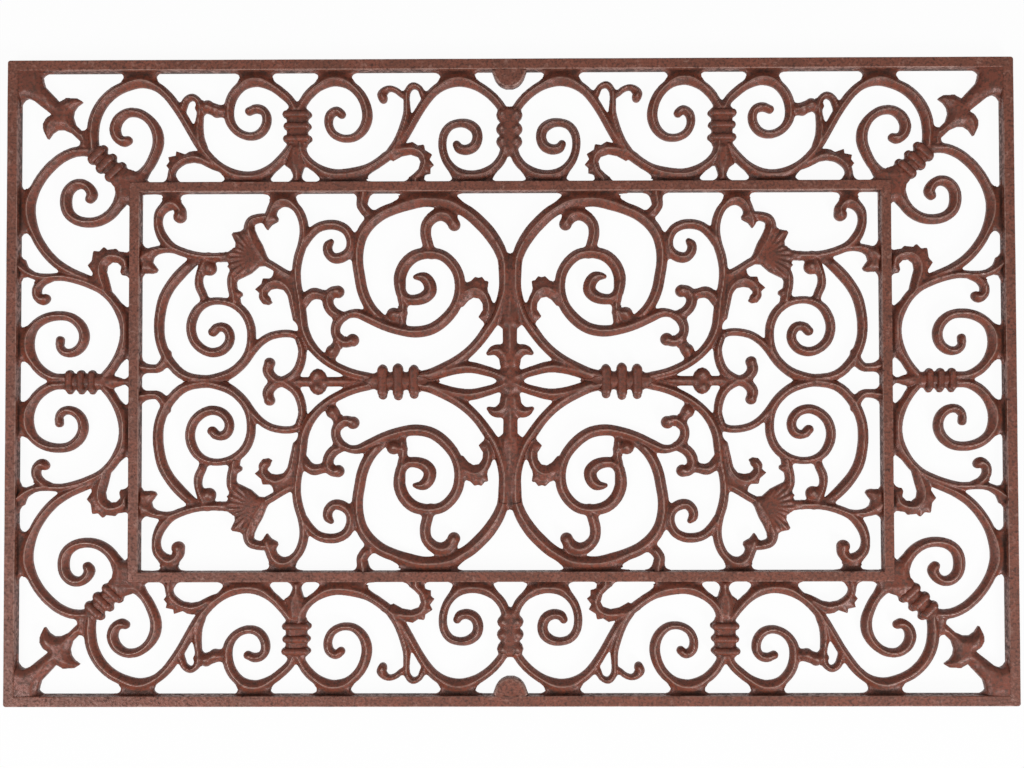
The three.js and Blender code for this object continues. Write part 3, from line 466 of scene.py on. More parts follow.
boss_roundings = 2
corner_cut_share = 0.25
boss_reach_least = 0.001
boss_half_shares = [[0.7, 58.2], [1.9, 58.7], [2.8, 59.8], [3.2, 60.9], [3.6, 62]]
boss_steps = [
    (0, 0.001, 0.6, 0), (0, 0.005, 0.4, 0), (0.0003, 0.0086, 0.1, 0.6),
    (0.0009, 0.0096, 0, 0.9), (0.002, 0.0098, 0, 0.2), (0.006, 0.0096, 0, 0),
]
for rail_name, (rail_x, rail_y, rail_turned, rail_span) in outer_rails.items():
    rail = rail_piece(
        rail_name + "_cast", rail_x, rail_y, rail_turned, rail_span, outer_rail_wide,
        outer_rail_drafts, (corner_plate_long, 0),
    )
    if not rail_turned:
        add_boss(rail, 1 if rail_y > 0 else -1)
    stand_for(rail, rail_name)

# Inner frame: four rails of the same section, a little narrower, poured in one with the
# scrollwork on both sides of them. They part the border from the centre panel.
corner_joint_long = 0.012
inner_mid_x = inner_face_right - inner_rail_wide / 2
inner_mid_y = inner_face_back - inner_rail_wide / 2
inner_rails = {
    "inner_rail_back": (0, inner_mid_y, False, 2 * inner_face_right),
    "inner_rail_front": (0, -inner_mid_y, False, 2 * inner_face_right),
    "inner_rail_right": (inner_mid_x, 0, True, 2 * inner_face_back),
    "inner_rail_left": (-inner_mid_x, 0, True, 2 * inner_face_back),
}
for rail_name, (rail_x, rail_y, rail_turned, rail_span) in inner_rails.items():
    rail = rail_piece(
        rail_name + "_cast", rail_x, rail_y, rail_turned, rail_span, inner_rail_wide,
        inner_rail_drafts, (0, corner_joint_long),
    )
    stand_for(rail, rail_name)

# Long border, centre: a rough collar of three bulges binds two volutes at the middle of each
# long side. Cast iron, with the sand's pits left on the collar.
floor_gap = 0.001
bar_tall = 0.0076
leaf_tall = 0.007
web_tall = 0.0046
collar_tall = 0.0082
band_bar_wide = 0.0068
grain_size = 0.00075
field_reach = 0.008
route_step = 0.0012
side_share = 0.42
corner_fillet = 0.003
web_fillet = 0.006
web_waist = 0.0014
web_swell_share = 0.1
rail_fillet = 0.0065
valley_fillet = 0.003
joint_valley = 0.0016
rail_swell_reach = 0.0075
rail_swell_steep = 1.2
let_in_long = 0.0055
let_in_narrow_share = 0.15
let_in_low_share = 0.4
skin_thick = 0.0018
tip_long = 0.006
tip_gone_share = 0.6
tip_swell_share = 0.16
tip_steep = 3
blunt_share = 0.86
thin_bar_share, stout_bar_share = 0.72, 0.28
bar_crown = 1.3
knob_crown = 2.2
knob_flat = 0.0001
leaf_fillet = 0.0012
leaf_crown = 1.3
leaf_reach = 0.0032
flute_ease_long = 0.01
flute_lift, flute_sink = 2, 1.6
piece_margin = 0.006
middle_reach = 0.003
joint_reach = 0.004
mirror_reach = 0.01
within_reach = 0.0005
own_reach = 0.0052
overlap_deep = 0.0012
rail_root_deep = 0.0022
web_round = 0.0012
web_edge_share, web_middle_share = 0.72, 0.3
stain_long = 0.005
stain_under_rail = 0.002
nowhere = 0.05
tiny = 1e-9
level_least = 1e-12
fillet_least = 1e-7
weight_least = 1e-6

rough_collar_half_shares = [
    [1.2, 54.5], [2.1, 53.9], [2.65, 53], [2.4, 52.1], [1.8, 51.4], [2.4, 50.8], [2.65, 50],
    [2.3, 49.3], [1.75, 48.7], [2.4, 48.2], [2.65, 47.5], [2.2, 46.7], [1.6, 45.8], [1.1, 44.8],
]
rough_bulge_wide = 0.0078
rough_bulge_shares = [[1.5, 52.9], [1.55, 50], [1.5, 47.5]]
centre_volute_shares = [
    [0.9, 46, 0.9], [1.5, 44.2], [2.9, 42.5], [5.1, 41.3], [7.8, 40.9], [10.5, 41.6],
    [12.5, 43.7, 0.9], [13.4, 46.6, 0.88], [13.1, 49.2, 0.88], [11.9, 50.8, 0.85],
    [10, 51.4, 0.85], [8.1, 51.1, 1], [6.7, 49.9, 1.1], [6.4, 48.2, 1.1], [7.1, 46.7, 1.1],
    [8.6, 46, 1.05], [10, 46.3, 0.95], [10.7, 47.3, 0.6],
]
centre_volute_web_shares = [
    [4.8, 39.2], [5.1, 40.4], [5.9, 41.3], [9.8, 41.3], [10.7, 40.3], [11, 39.2],
]


def mirror_right(rows):
    """The same rows on the left of the mat's middle line."""
    return [[-r[0], *r[1:]] for r in rows]


def mirror_back(rows):
    """The same rows in front of the mat's middle line."""
    return [[r[0], -r[1], *r[2:]] for r in rows]


def whole(rows, mirror):
    """One side of an outline, closed by its mirror image."""
    return rows + mirror(rows)[::-1]


def run_of(line):
    """How far along a line each of its points lies."""
    return np.concatenate([[0], np.cumsum(np.linalg.norm(np.diff(line, axis=0), axis=1))])


def smooth_line(rows, wide):
    """A smooth line through the rows of a bar: places on the mat and half the bar's width there."""
    knots = [np.array([*on_mat(r), (r[2] if len(r) > 2 else 1) * wide]) for r in rows]
    knots = [2 * knots[0] - knots[1], *knots, 2 * knots[-1] - knots[-2]]
    found = []
    for before, start, end, after in zip(knots, knots[1:], knots[2:], knots[3:]):
        t1 = max(np.linalg.norm(start - before), tiny) ** 0.5
        t2 = t1 + max(np.linalg.norm(end - start), tiny) ** 0.5
        t3 = t2 + max(np.linalg.norm(after - end), tiny) ** 0.5
        count = max(2, int(np.linalg.norm(end - start) / route_step))
        for i in range(count):
            t = t1 + (t2 - t1) * i / count
            a1 = before + (start - before) * t / t1
            a2 = start + (end - start) * (t - t1) / (t2 - t1)
            a3 = end + (after - end) * (t - t2) / (t3 - t2)
            b1 = a1 + (a2 - a1) * t / t2
            b2 = a2 + (a3 - a2) * (t - t1) / (t3 - t1)
            found.append(b1 + (b2 - b1) * (t - t1) / (t2 - t1))
    found.append(knots[-2])
    line = np.array(found)
    return line[:, :2], line[:, 2] / 2


class Grid:
    """The squares of a piece's ground, in the same ruling for every piece."""

    def __init__(self, low, high):
        self.first = np.floor(np.array(low) / grain_size).astype(int)
        self.count = np.ceil(np.array(high) / grain_size).astype(int) - self.first
        self.xs = (self.first[0] + np.arange(self.count[0]) + 0.5) * grain_size
        self.ys = (self.first[1] + np.arange(self.count[1]) + 0.5) * grain_size

    def window(self, low, high):
        """The rows and columns that a box covers."""
        start = np.clip(np.floor(low / grain_size).astype(int) - self.first, 0, self.count)
        stop = np.clip(np.ceil(high / grain_size).astype(int) - self.first, 0, self.count)
        return slice(start[1], stop[1]), slice(start[0], stop[0])

    def field(self, value):
        """The same value all over the grid."""
        return np.full((self.count[1], self.count[0]), float(value))

    def outside(self):
        """A field where nothing stands: how far away, the way outwards, and the height."""
        return [self.field(nowhere), self.field(0), self.field(0), self.field(-1)]


def off_stretch(x, y, a, b):
    """Where along the stretch from a to b each place lies, from 0 to 1, and its gap from it."""
    along = b - a
    gap_x, gap_y = x - a[0], y - a[1]
    t = np.clip((gap_x * along[0] + gap_y * along[1]) / max(along @ along, tiny ** 2), 0, 1)
    gap_x = gap_x - t * along[0]
    gap_y = gap_y - t * along[1]
    return t, gap_x, gap_y, np.hypot(gap_x, gap_y)


def swollen_to_rails(line, half):
    """Where a bar runs close along a rail, it swells until its flank reaches the rail."""
    way = np.gradient(line, axis=0)
    way = way / np.maximum(np.linalg.norm(way, axis=1), tiny)[:, None]
    line, half = line.copy(), half.copy()
    rail_sides = (
        (0, outer_face_right, 1, mat_deep), (1, outer_face_back, 1, mat_long),
        (0, inner_face_right, -1, inner_face_back), (1, inner_face_back, -1, inner_face_right),
        (0, panel_right, 1, panel_back), (1, panel_back, 1, panel_right),
    )
    for axis, face, side, span in rail_sides:
        gap = side * (face - np.abs(line[:, axis])) - half
        beside = (gap > -half) & (np.abs(line[:, 1 - axis]) < span)
        ease = np.clip(rail_swell_steep * (1 - gap / rail_swell_reach), 0, 1)
        ease = ease ** 2 * (3 - 2 * ease) * way[:, 1 - axis] ** 2 * beside
        extra = np.clip(gap, 0, rail_swell_reach) * ease
        line[:, axis] += np.sign(line[:, axis]) * side * extra / 2
        half += extra / 2
    return line, half


class Bar:
    """A bar of the scrollwork: two slopes that meet in a soft crest, on upright sides. Its ends
    run on, or are let into what they meet."""

    fillet = corner_fillet
    tip = False
    swell = 0

    def __init__(self, rows, wide=band_bar_wide, tall=bar_tall, let_in=""):
        self.line, self.half = swollen_to_rails(*smooth_line(rows, wide))
        if self.tip:
            run = run_of(self.line[::-1])[1:]
            kept = len(self.line) - int(np.searchsorted(run, self.half[-1] * tip_gone_share))
            self.line, self.half = self.line[:kept], self.half[:kept]
            near_tip = np.clip(1 - run_of(self.line[::-1])[::-1] / tip_long, 0, 1)
            self.half = self.half * (1 + self.swell * near_tip ** 2 * (3 - 2 * near_tip))
            if self.half[-1] > wide / 4:
                blunt = wide / 2 * blunt_share * np.clip(near_tip * tip_steep, 0, 1)
                self.half = np.maximum(self.half, blunt)
        slender = np.clip(self.half / (wide / 2), 0, 1)
        self.tall = tall * (thin_bar_share + stout_bar_share * slender)
        for end, way in (("start", 1), ("end", -1)):
            if let_in in (end, "both"):
                sink = np.clip(1 - run_of(self.line[::way]) / let_in_long, 0, 1)[::way]
                self.half = self.half * (1 - let_in_narrow_share * sink ** 2)
                self.tall = self.tall * (1 - let_in_low_share * sink)
        self.sharp = bar_crown
        self.low = self.line.min(0) - self.half.max()
        self.high = self.line.max(0) + self.half.max()

    def spread(self, grid):
        """Over the grid: how far outside the bar, the way outwards, and the bar's height."""
        far, away_x, away_y, top = grid.outside()
        stretches = zip(
            self.line, self.line[1:], self.half, self.half[1:], self.tall, self.tall[1:]
        )
        for a, b, half_a, half_b, tall_a, tall_b in stretches:
            reach = max(half_a, half_b) + field_reach
            rows, columns = grid.window(np.minimum(a, b) - reach, np.maximum(a, b) + reach)
            x, y = grid.xs[columns][None, :], grid.ys[rows][:, None]
            t, gap_x, gap_y, off = off_stretch(x, y, a, b)
            half = half_a + t * (half_b - half_a)
            closer = off - half < far[rows, columns]
            if not closer.any():
                continue
            length = np.maximum(off, tiny)
            crown = 1 - np.clip(off / half, 0, 1) ** self.sharp
            tall = tall_a + t * (tall_b - tall_a)
            height = floor_gap + tall * (side_share + (1 - side_share) * crown)
            far[rows, columns][closer] = (off - half)[closer]
            away_x[rows, columns][closer] = (gap_x / length)[closer]
            away_y[rows, columns][closer] = (gap_y / length)[closer]
            top[rows, columns][closer] = height[closer]
        return far, away_x, away_y, top


class Volute(Bar):
    """A bar whose last end curls free: its tip swells and is rounded off."""

    tip = True
    swell = tip_swell_share


class Knob(Bar):
    """The ball that ends a tendril."""

    def __init__(self, centre, wide, tall=bar_tall):
        middle = np.array(on_mat(centre))
        self.line = np.array([middle, middle + (knob_flat, 0)])
        self.half = np.array([wide / 2, wide / 2])
        self.tall = np.array([tall, tall])
        self.sharp = knob_crown
        self.low = middle - wide / 2
        self.high = middle + wide / 2


class Leaf:
    """A flat part of the pattern. It swells from its edge towards its middle, so that its lobes
    part in creases; a fan is fluted round its root as well."""

    fillet = leaf_fillet

    def __init__(self, outline, tall=leaf_tall, swell=0.45, reach=leaf_reach, flutes=None):
        self.outline = np.array([on_mat(r) for r in outline])
        self.tall = tall
        self.reach = reach
        self.swell = swell
        self.flutes = flutes
        self.low = self.outline.min(0)
        self.high = self.outline.max(0)

    def spread(self, grid):
        """Over the grid: how far outside the leaf, the way outwards, and the leaf's height."""
        far, away_x, away_y, top = grid.outside()
        rows, columns = grid.window(self.low - field_reach, self.high + field_reach)
        x = grid.xs[columns][None, :]
        y = grid.ys[rows][:, None]
        edge = np.full(np.broadcast(x, y).shape, nowhere)
        edge_x, edge_y = np.zeros_like(edge), np.zeros_like(edge)
        within = np.zeros(edge.shape, bool)
        for a, b in zip(self.outline, np.roll(self.outline, -1, axis=0)):
            t, gap_x, gap_y, off = off_stretch(x, y, a, b)
            closer = off < edge
            edge[closer] = off[closer]
            length = np.maximum(off, tiny)
            edge_x[closer] = (gap_x / length)[closer]
            edge_y[closer] = (gap_y / length)[closer]
            along = b - a
            if abs(along[1]) > level_least:
                crosses = (a[1] > y) != (b[1] > y)
                within ^= crosses & (x < a[0] + (y - a[1]) / along[1] * along[0])
        sign = np.where(within, -1, 1)
        far[rows, columns] = edge * sign
        away_x[rows, columns] = edge_x * sign
        away_y[rows, columns] = edge_y * sign
        depth = np.clip(np.where(within, edge, 0) / self.reach, 0, 1)
        crown = 1 - self.swell * (1 - depth) ** leaf_crown
        height = floor_gap + self.tall * crown
        if self.flutes:
            root, count, deep, start = self.flutes
            root_x, root_y = on_mat(root)
            turn = np.arctan2(y - root_y, x - root_x)
            out = np.hypot(x - root_x, y - root_y) - start
            out = np.clip(out / flute_ease_long, 0, 1)
            wave = np.abs(np.sin(turn * count)) * flute_lift - flute_sink
            height = height + deep * wave * out
        top[rows, columns] = height
        return far, away_x, away_y, top


class RailFace:
    """The near face of a rail, which the scrollwork's fillets run up to."""

    fillet = 0

    def __init__(self, low_x, low_y, high_x, high_y):
        self.low, self.high = np.array([low_x, low_y]), np.array([high_x, high_y])

    def spread(self, grid):
        """Over the grid: how far outside the rail, and the way outwards."""
        middle, half = (self.low + self.high) / 2, (self.high - self.low) / 2
        x = grid.xs[None, :] - middle[0] + grid.field(0)
        y = grid.ys[:, None] - middle[1] + grid.field(0)
        over_x, over_y = np.abs(x) - half[0], np.abs(y) - half[1]
        out_x, out_y = np.maximum(over_x, 0), np.maximum(over_y, 0)
        off = np.hypot(out_x, out_y)
        far = off + np.minimum(np.maximum(over_x, over_y), 0)
        length = np.maximum(off, tiny)
        return far, np.sign(x) * out_x / length, np.sign(y) * out_y / length, grid.field(-1)


rail_faces = [
    RailFace(-mat_long / 2, outer_face_back, mat_long / 2, mat_deep / 2),
    RailFace(outer_face_right, -mat_deep / 2, mat_long / 2, mat_deep / 2),
    RailFace(-inner_face_right, panel_back, inner_face_right, inner_face_back),
    RailFace(panel_right, -inner_face_back, inner_face_right, inner_face_back),
]
already_set = []


def turned_over(part, flip_right, flip_back):
    """The same part on the other side of a middle line."""
    made = object.__new__(type(part))
    made.__dict__.update(part.__dict__)
    flip = np.array([flip_right, flip_back])
    for name in ("line", "outline"):
        if hasattr(part, name):
            setattr(made, name, getattr(part, name) * flip)
    ends = np.array([part.low * flip, part.high * flip])
    made.low, made.high = ends.min(0), ends.max(0)
    return made


def near(part, low, high, reach):
    """Whether a part comes within reach of a box."""
    return np.all(part.low - reach < high) and np.all(part.high + reach > low)


def filled_corner(one, other, fillet, valley=valley_fillet):
    """Two fields run into one, and their inner corners filled. Bars that run side by side aren't
    thickened: only sides that face each other fill."""
    facing = np.clip(1 - (one[1] * other[1] + one[2] * other[2]), 0, 1)
    width = np.maximum(fillet * facing, fillet_least)
    mixed = np.clip(width - np.abs(one[0] - other[0]), 0, None) / width
    nearer = other[0] < one[0]
    far = np.minimum(one[0], other[0]) - mixed ** 2 * width / 4
    away_x = np.where(nearer, other[1], one[1])
    away_y = np.where(nearer, other[2], one[2])
    top_one = np.where(one[0] < within_reach, one[3], -1)
    top_other = np.where(other[0] < within_reach, other[3], -1)
    both = np.clip(valley - np.abs(top_one - top_other), 0, None) / valley
    top = np.maximum(top_one, top_other) + both ** 2 * valley / 4
    return far, away_x, away_y, top


def run_together(parts, grid):
    """The field of all the parts together, worked out part by part in the part's own window."""
    whole_field = grid.outside()
    for part in parts:
        rows, columns = grid.window(part.low - field_reach, part.high + field_reach)
        if rows.start >= rows.stop or columns.start >= columns.stop:
            continue
        low = np.array([grid.xs[columns][0], grid.ys[rows][0]]) - grain_size * 0.25
        high = np.array([grid.xs[columns][-1], grid.ys[rows][-1]]) + grain_size * 0.25
        small = Grid(low, high)
        before = [f[rows, columns] for f in whole_field]
        mixed = filled_corner(before, part.spread(small), part.fillet)
        for field, values in zip(whole_field, mixed):
            field[rows, columns] = values
    return whole_field


def casting(name, iron, parts, quarter=True):
    """One cast piece: its parts run together with fillets, to each other, to the rails and to
    what is already set beside it. The piece gives way to those, and to its mirror image, but
    where it is the taller one it runs on over them."""
    low = np.min([p.low for p in parts], 0)
    high = np.max([p.high for p in parts], 0) + piece_margin
    clip_right = quarter and low[0] < middle_reach
    clip_back = quarter and low[1] < middle_reach
    low = low - piece_margin
    if clip_right:
        low[0] = -grain_size
    if clip_back:
        low[1] = -grain_size
    grid = Grid(low, high)
    own = list(parts)
    for wanted, flip in ((clip_right, (-1, 1)), (clip_back, (1, -1))):
        if wanted:
            images = [turned_over(p, *flip) for p in parts]
            own += [p for p in images if near(p, low, high, joint_reach)]
    beside = [p for p in already_set if near(p, low, high, joint_reach)]
    own_field = run_together(own, grid)
    beside_field = run_together(beside, grid)
    field = filled_corner(own_field, beside_field, corner_fillet, joint_valley)
    own_top = np.where(own_field[0] < within_reach, own_field[3], -1)
    lower = np.clip((beside_field[3] - own_top) / joint_valley, 0, 1) * (beside_field[0] < 0)
    field[3][:] = field[3] - joint_valley / 4 * lower ** 2
    rail_field = run_together(rail_faces, grid)
    field = filled_corner(field, rail_field, rail_fillet)
    far, top = field[0], field[3]
    rounded = 1 - np.exp(np.minimum(far, 0) / web_round)
    web = web_tall * (web_edge_share + web_middle_share * rounded)
    top = np.maximum(top, floor_gap + web)

    bound = np.maximum(far, own_field[0] - own_reach)
    outline = bound
    covered = beside_field[3] - own_top - joint_valley
    bound = np.maximum(bound, np.minimum(-beside_field[0] - overlap_deep, covered))
    bound = np.maximum(bound, -rail_field[0] - rail_root_deep)
    out_of_frame = np.maximum(
        np.abs(grid.xs[None, :]) - mat_long / 2, np.abs(grid.ys[:, None]) - mat_deep / 2
    )
    bound = np.maximum(bound, out_of_frame + skin_thick)
    if clip_right:
        bound = np.maximum(bound, -grid.xs[None, :])
    if clip_back:
        bound = np.maximum(bound, -grid.ys[:, None])
    for part in parts:
        already_set.append(part)
        for flip in ((-1, 1), (1, -1)):
            other_side = turned_over(part, *flip)
            if near(other_side, np.zeros(2), np.ones(2), mirror_reach):
                already_set.append(other_side)
    # Painted shade on the low ground next to the rails: how close to a rail each place lies.
    shade = np.clip(1 - rail_field[0] / stain_long, 0, 1) * (rail_field[0] > -stain_under_rail)
    return raised_sheet(name, iron, grid, bound, top, outline, shade)


def blurred(values, held, times):
    """Softens a field over the places that are held, and leaves the rest out of it."""
    total, weight = values * held, held.astype(float)
    for _ in range(times):
        for axis in (0, 1):
            total = (np.roll(total, 1, axis) + 2 * total + np.roll(total, -1, axis)) / 4
            weight = (np.roll(weight, 1, axis) + 2 * weight + np.roll(weight, -1, axis)) / 4
    return total / np.maximum(weight, weight_least)


def cast_relief_tree():
    """Raises a flat sheet to the height that its attribute gives, and closes it down to its
    foot: the top, a flipped copy as the underside, and walls drawn down from the open edges."""
    tree, given, out = new_tree(
        "cast_relief", "GeometryNodeTree",
        [("Geometry", "Geometry", None), ("Floor gap", "Float", floor_gap),
         ("Tall", "Float", 1.0), ("Iron", "Material", None)],
        [("Geometry", "Geometry")],
    )
    link = tree.links.new

    relief = node(tree, "GeometryNodeInputNamedAttribute", data_type="FLOAT")
    relief.inputs["Name"].default_value = "relief"
    height = math_node(tree, "MULTIPLY", relief.outputs["Attribute"], given.outputs["Tall"])
    lift = node(tree, "ShaderNodeCombineXYZ")
    link(math_node(tree, "ADD", height, given.outputs["Floor gap"]), lift.inputs["Z"])
    top = node(tree, "GeometryNodeSetPosition")
    link(given.outputs["Geometry"], top.inputs["Geometry"])
    link(lift.outputs[0], top.inputs["Offset"])

    foot = node(tree, "ShaderNodeCombineXYZ")
    link(given.outputs["Floor gap"], foot.inputs["Z"])
    low = node(tree, "GeometryNodeSetPosition")
    link(given.outputs["Geometry"], low.inputs["Geometry"])
    link(foot.outputs[0], low.inputs["Offset"])
    underside = node(tree, "GeometryNodeFlipFaces")
    link(low.outputs["Geometry"], underside.inputs["Mesh"])

    beside = node(tree, "GeometryNodeInputMeshEdgeNeighbors")
    open_edge = math_node(tree, "LESS_THAN", beside.outputs["Face Count"], 1.5)
    drop = node(tree, "ShaderNodeCombineXYZ")
    link(math_node(tree, "MULTIPLY", given.outputs["Floor gap"], -0.1), drop.inputs["Z"])
    walls = node(tree, "GeometryNodeExtrudeMesh", mode="EDGES")
    link(top.outputs["Geometry"], walls.inputs["Mesh"])
    link(open_edge, walls.inputs["Selection"])
    link(drop.outputs[0], walls.inputs["Offset"])
    walls.inputs["Offset Scale"].default_value = 1
    at = node(tree, "ShaderNodeSeparateXYZ")
    link(node(tree, "GeometryNodeInputPosition").outputs[0], at.inputs[0])
    on_foot = node(tree, "ShaderNodeCombineXYZ")
    link(at.outputs["X"], on_foot.inputs["X"])
    link(at.outputs["Y"], on_foot.inputs["Y"])
    link(given.outputs["Floor gap"], on_foot.inputs["Z"])
    lowered = node(tree, "GeometryNodeSetPosition")
    link(walls.outputs["Mesh"], lowered.inputs["Geometry"])
    link(walls.outputs["Top"], lowered.inputs["Selection"])
    link(on_foot.outputs[0], lowered.inputs["Position"])

    joined = node(tree, "GeometryNodeJoinGeometry")
    link(underside.outputs["Mesh"], joined.inputs["Geometry"])
    link(lowered.outputs["Geometry"], joined.inputs["Geometry"])
    closed = node(tree, "GeometryNodeMergeByDistance")
    link(joined.outputs["Geometry"], closed.inputs["Geometry"])
    closed.inputs["Distance"].default_value = 2 * weld_gap
    real = node(tree, "GeometryNodeRealizeInstances")
    link(closed.outputs["Geometry"], real.inputs["Geometry"])
    finish = node(tree, "GeometryNodeSetMaterial")
    link(real.outputs["Geometry"], finish.inputs["Geometry"])
    link(given.outputs["Iron"], finish.inputs["Material"])
    link(finish.outputs["Geometry"], out.inputs["Geometry"])
    return tree


cast_relief = cast_relief_tree()


def grown(data, tree, iron):
    """The plain mesh that a tree makes of this one, in the iron's finish."""
    source = bpy.data.objects.new(data.name, data)
    bpy.context.scene.collection.objects.link(source)
    growth = source.modifiers.new("growth", "NODES")
    growth.node_group = tree
    for item in tree.interface.items_tree:
        if item.item_type == "SOCKET" and item.in_out == "INPUT" and item.name == "Iron":
            growth[item.identifier] = iron
    grown_source = source.evaluated_get(bpy.context.evaluated_depsgraph_get())
    made = bpy.data.meshes.new_from_object(grown_source)
    bpy.data.objects.remove(source)
    bpy.data.meshes.remove(data)
    return made


wide_blur_times = 9
low_from_share, low_over_share = 0.8, 0.3
foot_dark_share, stain_dark_share = 0.36, 0.6
rim_wide = 0.0008
rim_ease = 0.0014
relief_bend = 0.0009
rubbed_slope = 0.12
cut_least_share, cut_most_share = 0.15, 0.85
wall_dark_share = 0.12


def raised_sheet(name, iron, grid, bound, top, outline, shade):
    """Cuts the sheet to its bound, square by square, and has the tree raise it."""
    held = bound < grain_size
    soft_top = blurred(top, held, 1)
    wide_top = blurred(top, held, wide_blur_times)
    bent = wide_top - soft_top
    slope_y, slope_x = np.gradient(soft_top, grain_size)
    steep = 1 - 1 / np.sqrt(1 + slope_x ** 2 + slope_y ** 2)
    lift = (soft_top - floor_gap) / bar_tall
    well_in = np.clip((-outline - rim_wide) / rim_ease, 0, 1)
    # The hollow mask is painted shade and patina: valleys darken, and so do low places, most of all
    # next to the rails. The crest mask is a painted highlight on the flat tops of crests.
    low = np.clip((low_from_share - lift) / low_over_share, 0, 1)
    dark = low * (foot_dark_share + stain_dark_share * shade)
    hollow = (np.clip(bent / relief_bend, 0, 1) + dark) * well_in
    free_edge = outline > -grain_size * 1.5
    crest = np.clip(-bent / relief_bend, 0, 1) * np.clip(1 - steep / rubbed_slope, 0, 1)

    inner = bound < 0
    points, relief, hollows, crests = [], [], [], []
    corner_at, crossing_at = {}, {}

    def corner(i, j):
        """The point of the sheet at a place of the grid."""
        if (i, j) not in corner_at:
            corner_at[i, j] = len(points)
            points.append((grid.xs[j], grid.ys[i], 0))
            relief.append(soft_top[i, j] - floor_gap)
            hollows.append(hollow[i, j])
            crests.append(crest[i, j])
        return corner_at[i, j]

    def crossing(a, b):
        """The point of the sheet where the bound crosses a side of a square."""
        key = (a, b) if a < b else (b, a)
        if key not in crossing_at:
            (i, j), (k, l) = key
            share = bound[i, j] / (bound[i, j] - bound[k, l])
            share = min(max(share, cut_least_share), cut_most_share)
            within = (i, j) if inner[i, j] else (k, l)
            crossing_at[key] = len(points)
            points.append((
                grid.xs[j] + share * (grid.xs[l] - grid.xs[j]),
                grid.ys[i] + share * (grid.ys[k] - grid.ys[i]),
                0,
            ))
            high = soft_top[within] - floor_gap
            relief.append(min(high, bar_tall * side_share) if free_edge[within] else high)
            # Painted shade on the walls.
            hollows.append(wall_dark_share)
            crests.append(0)
        return crossing_at[key]

    faces = []
    filled = inner[:-1, :-1] | inner[1:, :-1] | inner[:-1, 1:] | inner[1:, 1:]
    for i, j in zip(*np.nonzero(filled)):
        ring = ((i, j), (i, j + 1), (i + 1, j + 1), (i + 1, j))
        face = []
        for a, b in zip(ring, ring[1:] + ring[:1]):
            if inner[a]:
                face.append(corner(*a))
            if inner[a] != inner[b]:
                face.append(crossing(a, b))
        faces.append(face)
    sheet = bpy.data.meshes.new(name)
    sheet.from_pydata(points, [], faces)
    keep_at_points(sheet, relief=relief, hollow=hollows, crest=crests)
    cast = grown(sheet, cast_relief, iron)
    work = bmesh.new()
    work.from_mesh(cast)
    bmesh.ops.recalc_face_normals(work, faces=work.faces)
    work.to_mesh(cast)
    work.free()
    return cast


side_drift = 0.00018
top_drift = 0.0001
right_waves = ((29, 17, 1), (-11, 53, 3))
back_waves = ((-19, 31, 2), (47, 13, 5))
top_waves = ((67, 41, 0), (151, -97, 2))
sharp_from_degrees = 62


def hand_drift(places):
    """The pattern was carved by hand, so no two quarters are quite alike: a slow shift of a few
    tenths of a millimetre, and a slow rise and fall of the tops."""
    x, y, z = places.T
    shift_x = side_drift * waves(x, y, right_waves)
    shift_y = side_drift * waves(x, y, back_waves)
    rise = top_drift * waves(x, y, top_waves) * np.clip((z - floor_gap) / bar_tall, 0, 1)
    return np.stack([x + shift_x, y + shift_y, z + rise], 1)


def place_casting(cast, node_name, flip_right=1, flip_back=1):
    """Sets a casting into the mat, turned over the middle lines where its quarter needs it."""
    data = cast.copy()
    piece = bpy.data.objects.new(node_name + "_cast", data)
    bpy.context.scene.collection.objects.link(piece)
    places = np.zeros(len(data.vertices) * 3)
    data.vertices.foreach_get("co", places)
    places = places.reshape(-1, 3) * (flip_right, flip_back, 1)
    data.vertices.foreach_set("co", hand_drift(places).ravel())
    if flip_right * flip_back < 0:
        data.flip_normals()
    data.polygons.foreach_set("use_smooth", [True] * len(data.polygons))
    data.set_sharp_from_angle(angle=math.radians(sharp_from_degrees))
    data.update()
    stand_for(piece, node_name)


collar_finish = iron_finish(
    "collar_iron_finish",
    body=(112, 60, 45), rust=(129, 68, 50), dark=(74, 44, 32), hollow=(50, 30, 21),
    crest=(178, 145, 133), skin=(90, 420, 1300), relief=(1.0, 0.7, 0.5),
    roughness=0.42, bump=0.0007,
)


class Web(Leaf):
    """A low web between a bar and its neighbour, waisted between its wide fillets."""

    fillet = web_fillet

    def __init__(self, outline):
        super().__init__(outline, web_tall, swell=web_swell_share)

    def spread(self, grid):
        """As a leaf's, drawn in by the waist."""
        far, away_x, away_y, top = super().spread(grid)
        return far + web_waist, away_x, away_y, top


long_centre = casting(
    "long_centre",
    collar_finish,
    [
        Leaf(whole(rough_collar_half_shares, mirror_right), bar_tall, swell=0.35),
        *[Knob(row, rough_bulge_wide, collar_tall) for row in rough_bulge_shares],
        *[Knob(row, rough_bulge_wide, collar_tall) for row in mirror_right(rough_bulge_shares)],
        Volute(centre_volute_shares),
        Volute(mirror_right(centre_volute_shares)),
        Web(centre_volute_web_shares),
        Web(mirror_right(centre_volute_web_shares)),
    ],
    quarter=False,
)
for end, flip in (("back", 1), ("front", -1)):
    place_casting(long_centre, "long_centre_scroll_" + end, 1, flip)

# Long border, side: a collar of three rings round the bars, with a tongue that reaches the
# inner rail and a volute on either side. Cast iron, with a painted highlight along the rings'
# crests.
collar_core_tall = 0.0066
collar_ring_wide = 0.0054
collar_ring_tall = 0.0088
ring_fillet = 0.0036
ring_side_share = 0.3
ring_points = 28
ring_crown = 0.45
ring_foot = 0.4
ring_box = 0.35
ring_end_share = 0.55
ring_end_least = 0.02
ring_low_share, ring_high_share = 0.45, 0.55
ring_dark_from, ring_dark_over, ring_dark_share = 0.8, 0.35, 0.9
ring_rub_share, ring_rub_at, ring_rub_over = 0.36, 0.9, 0.1
foot_short_share = 0.15
foot_wide_share = 0.82

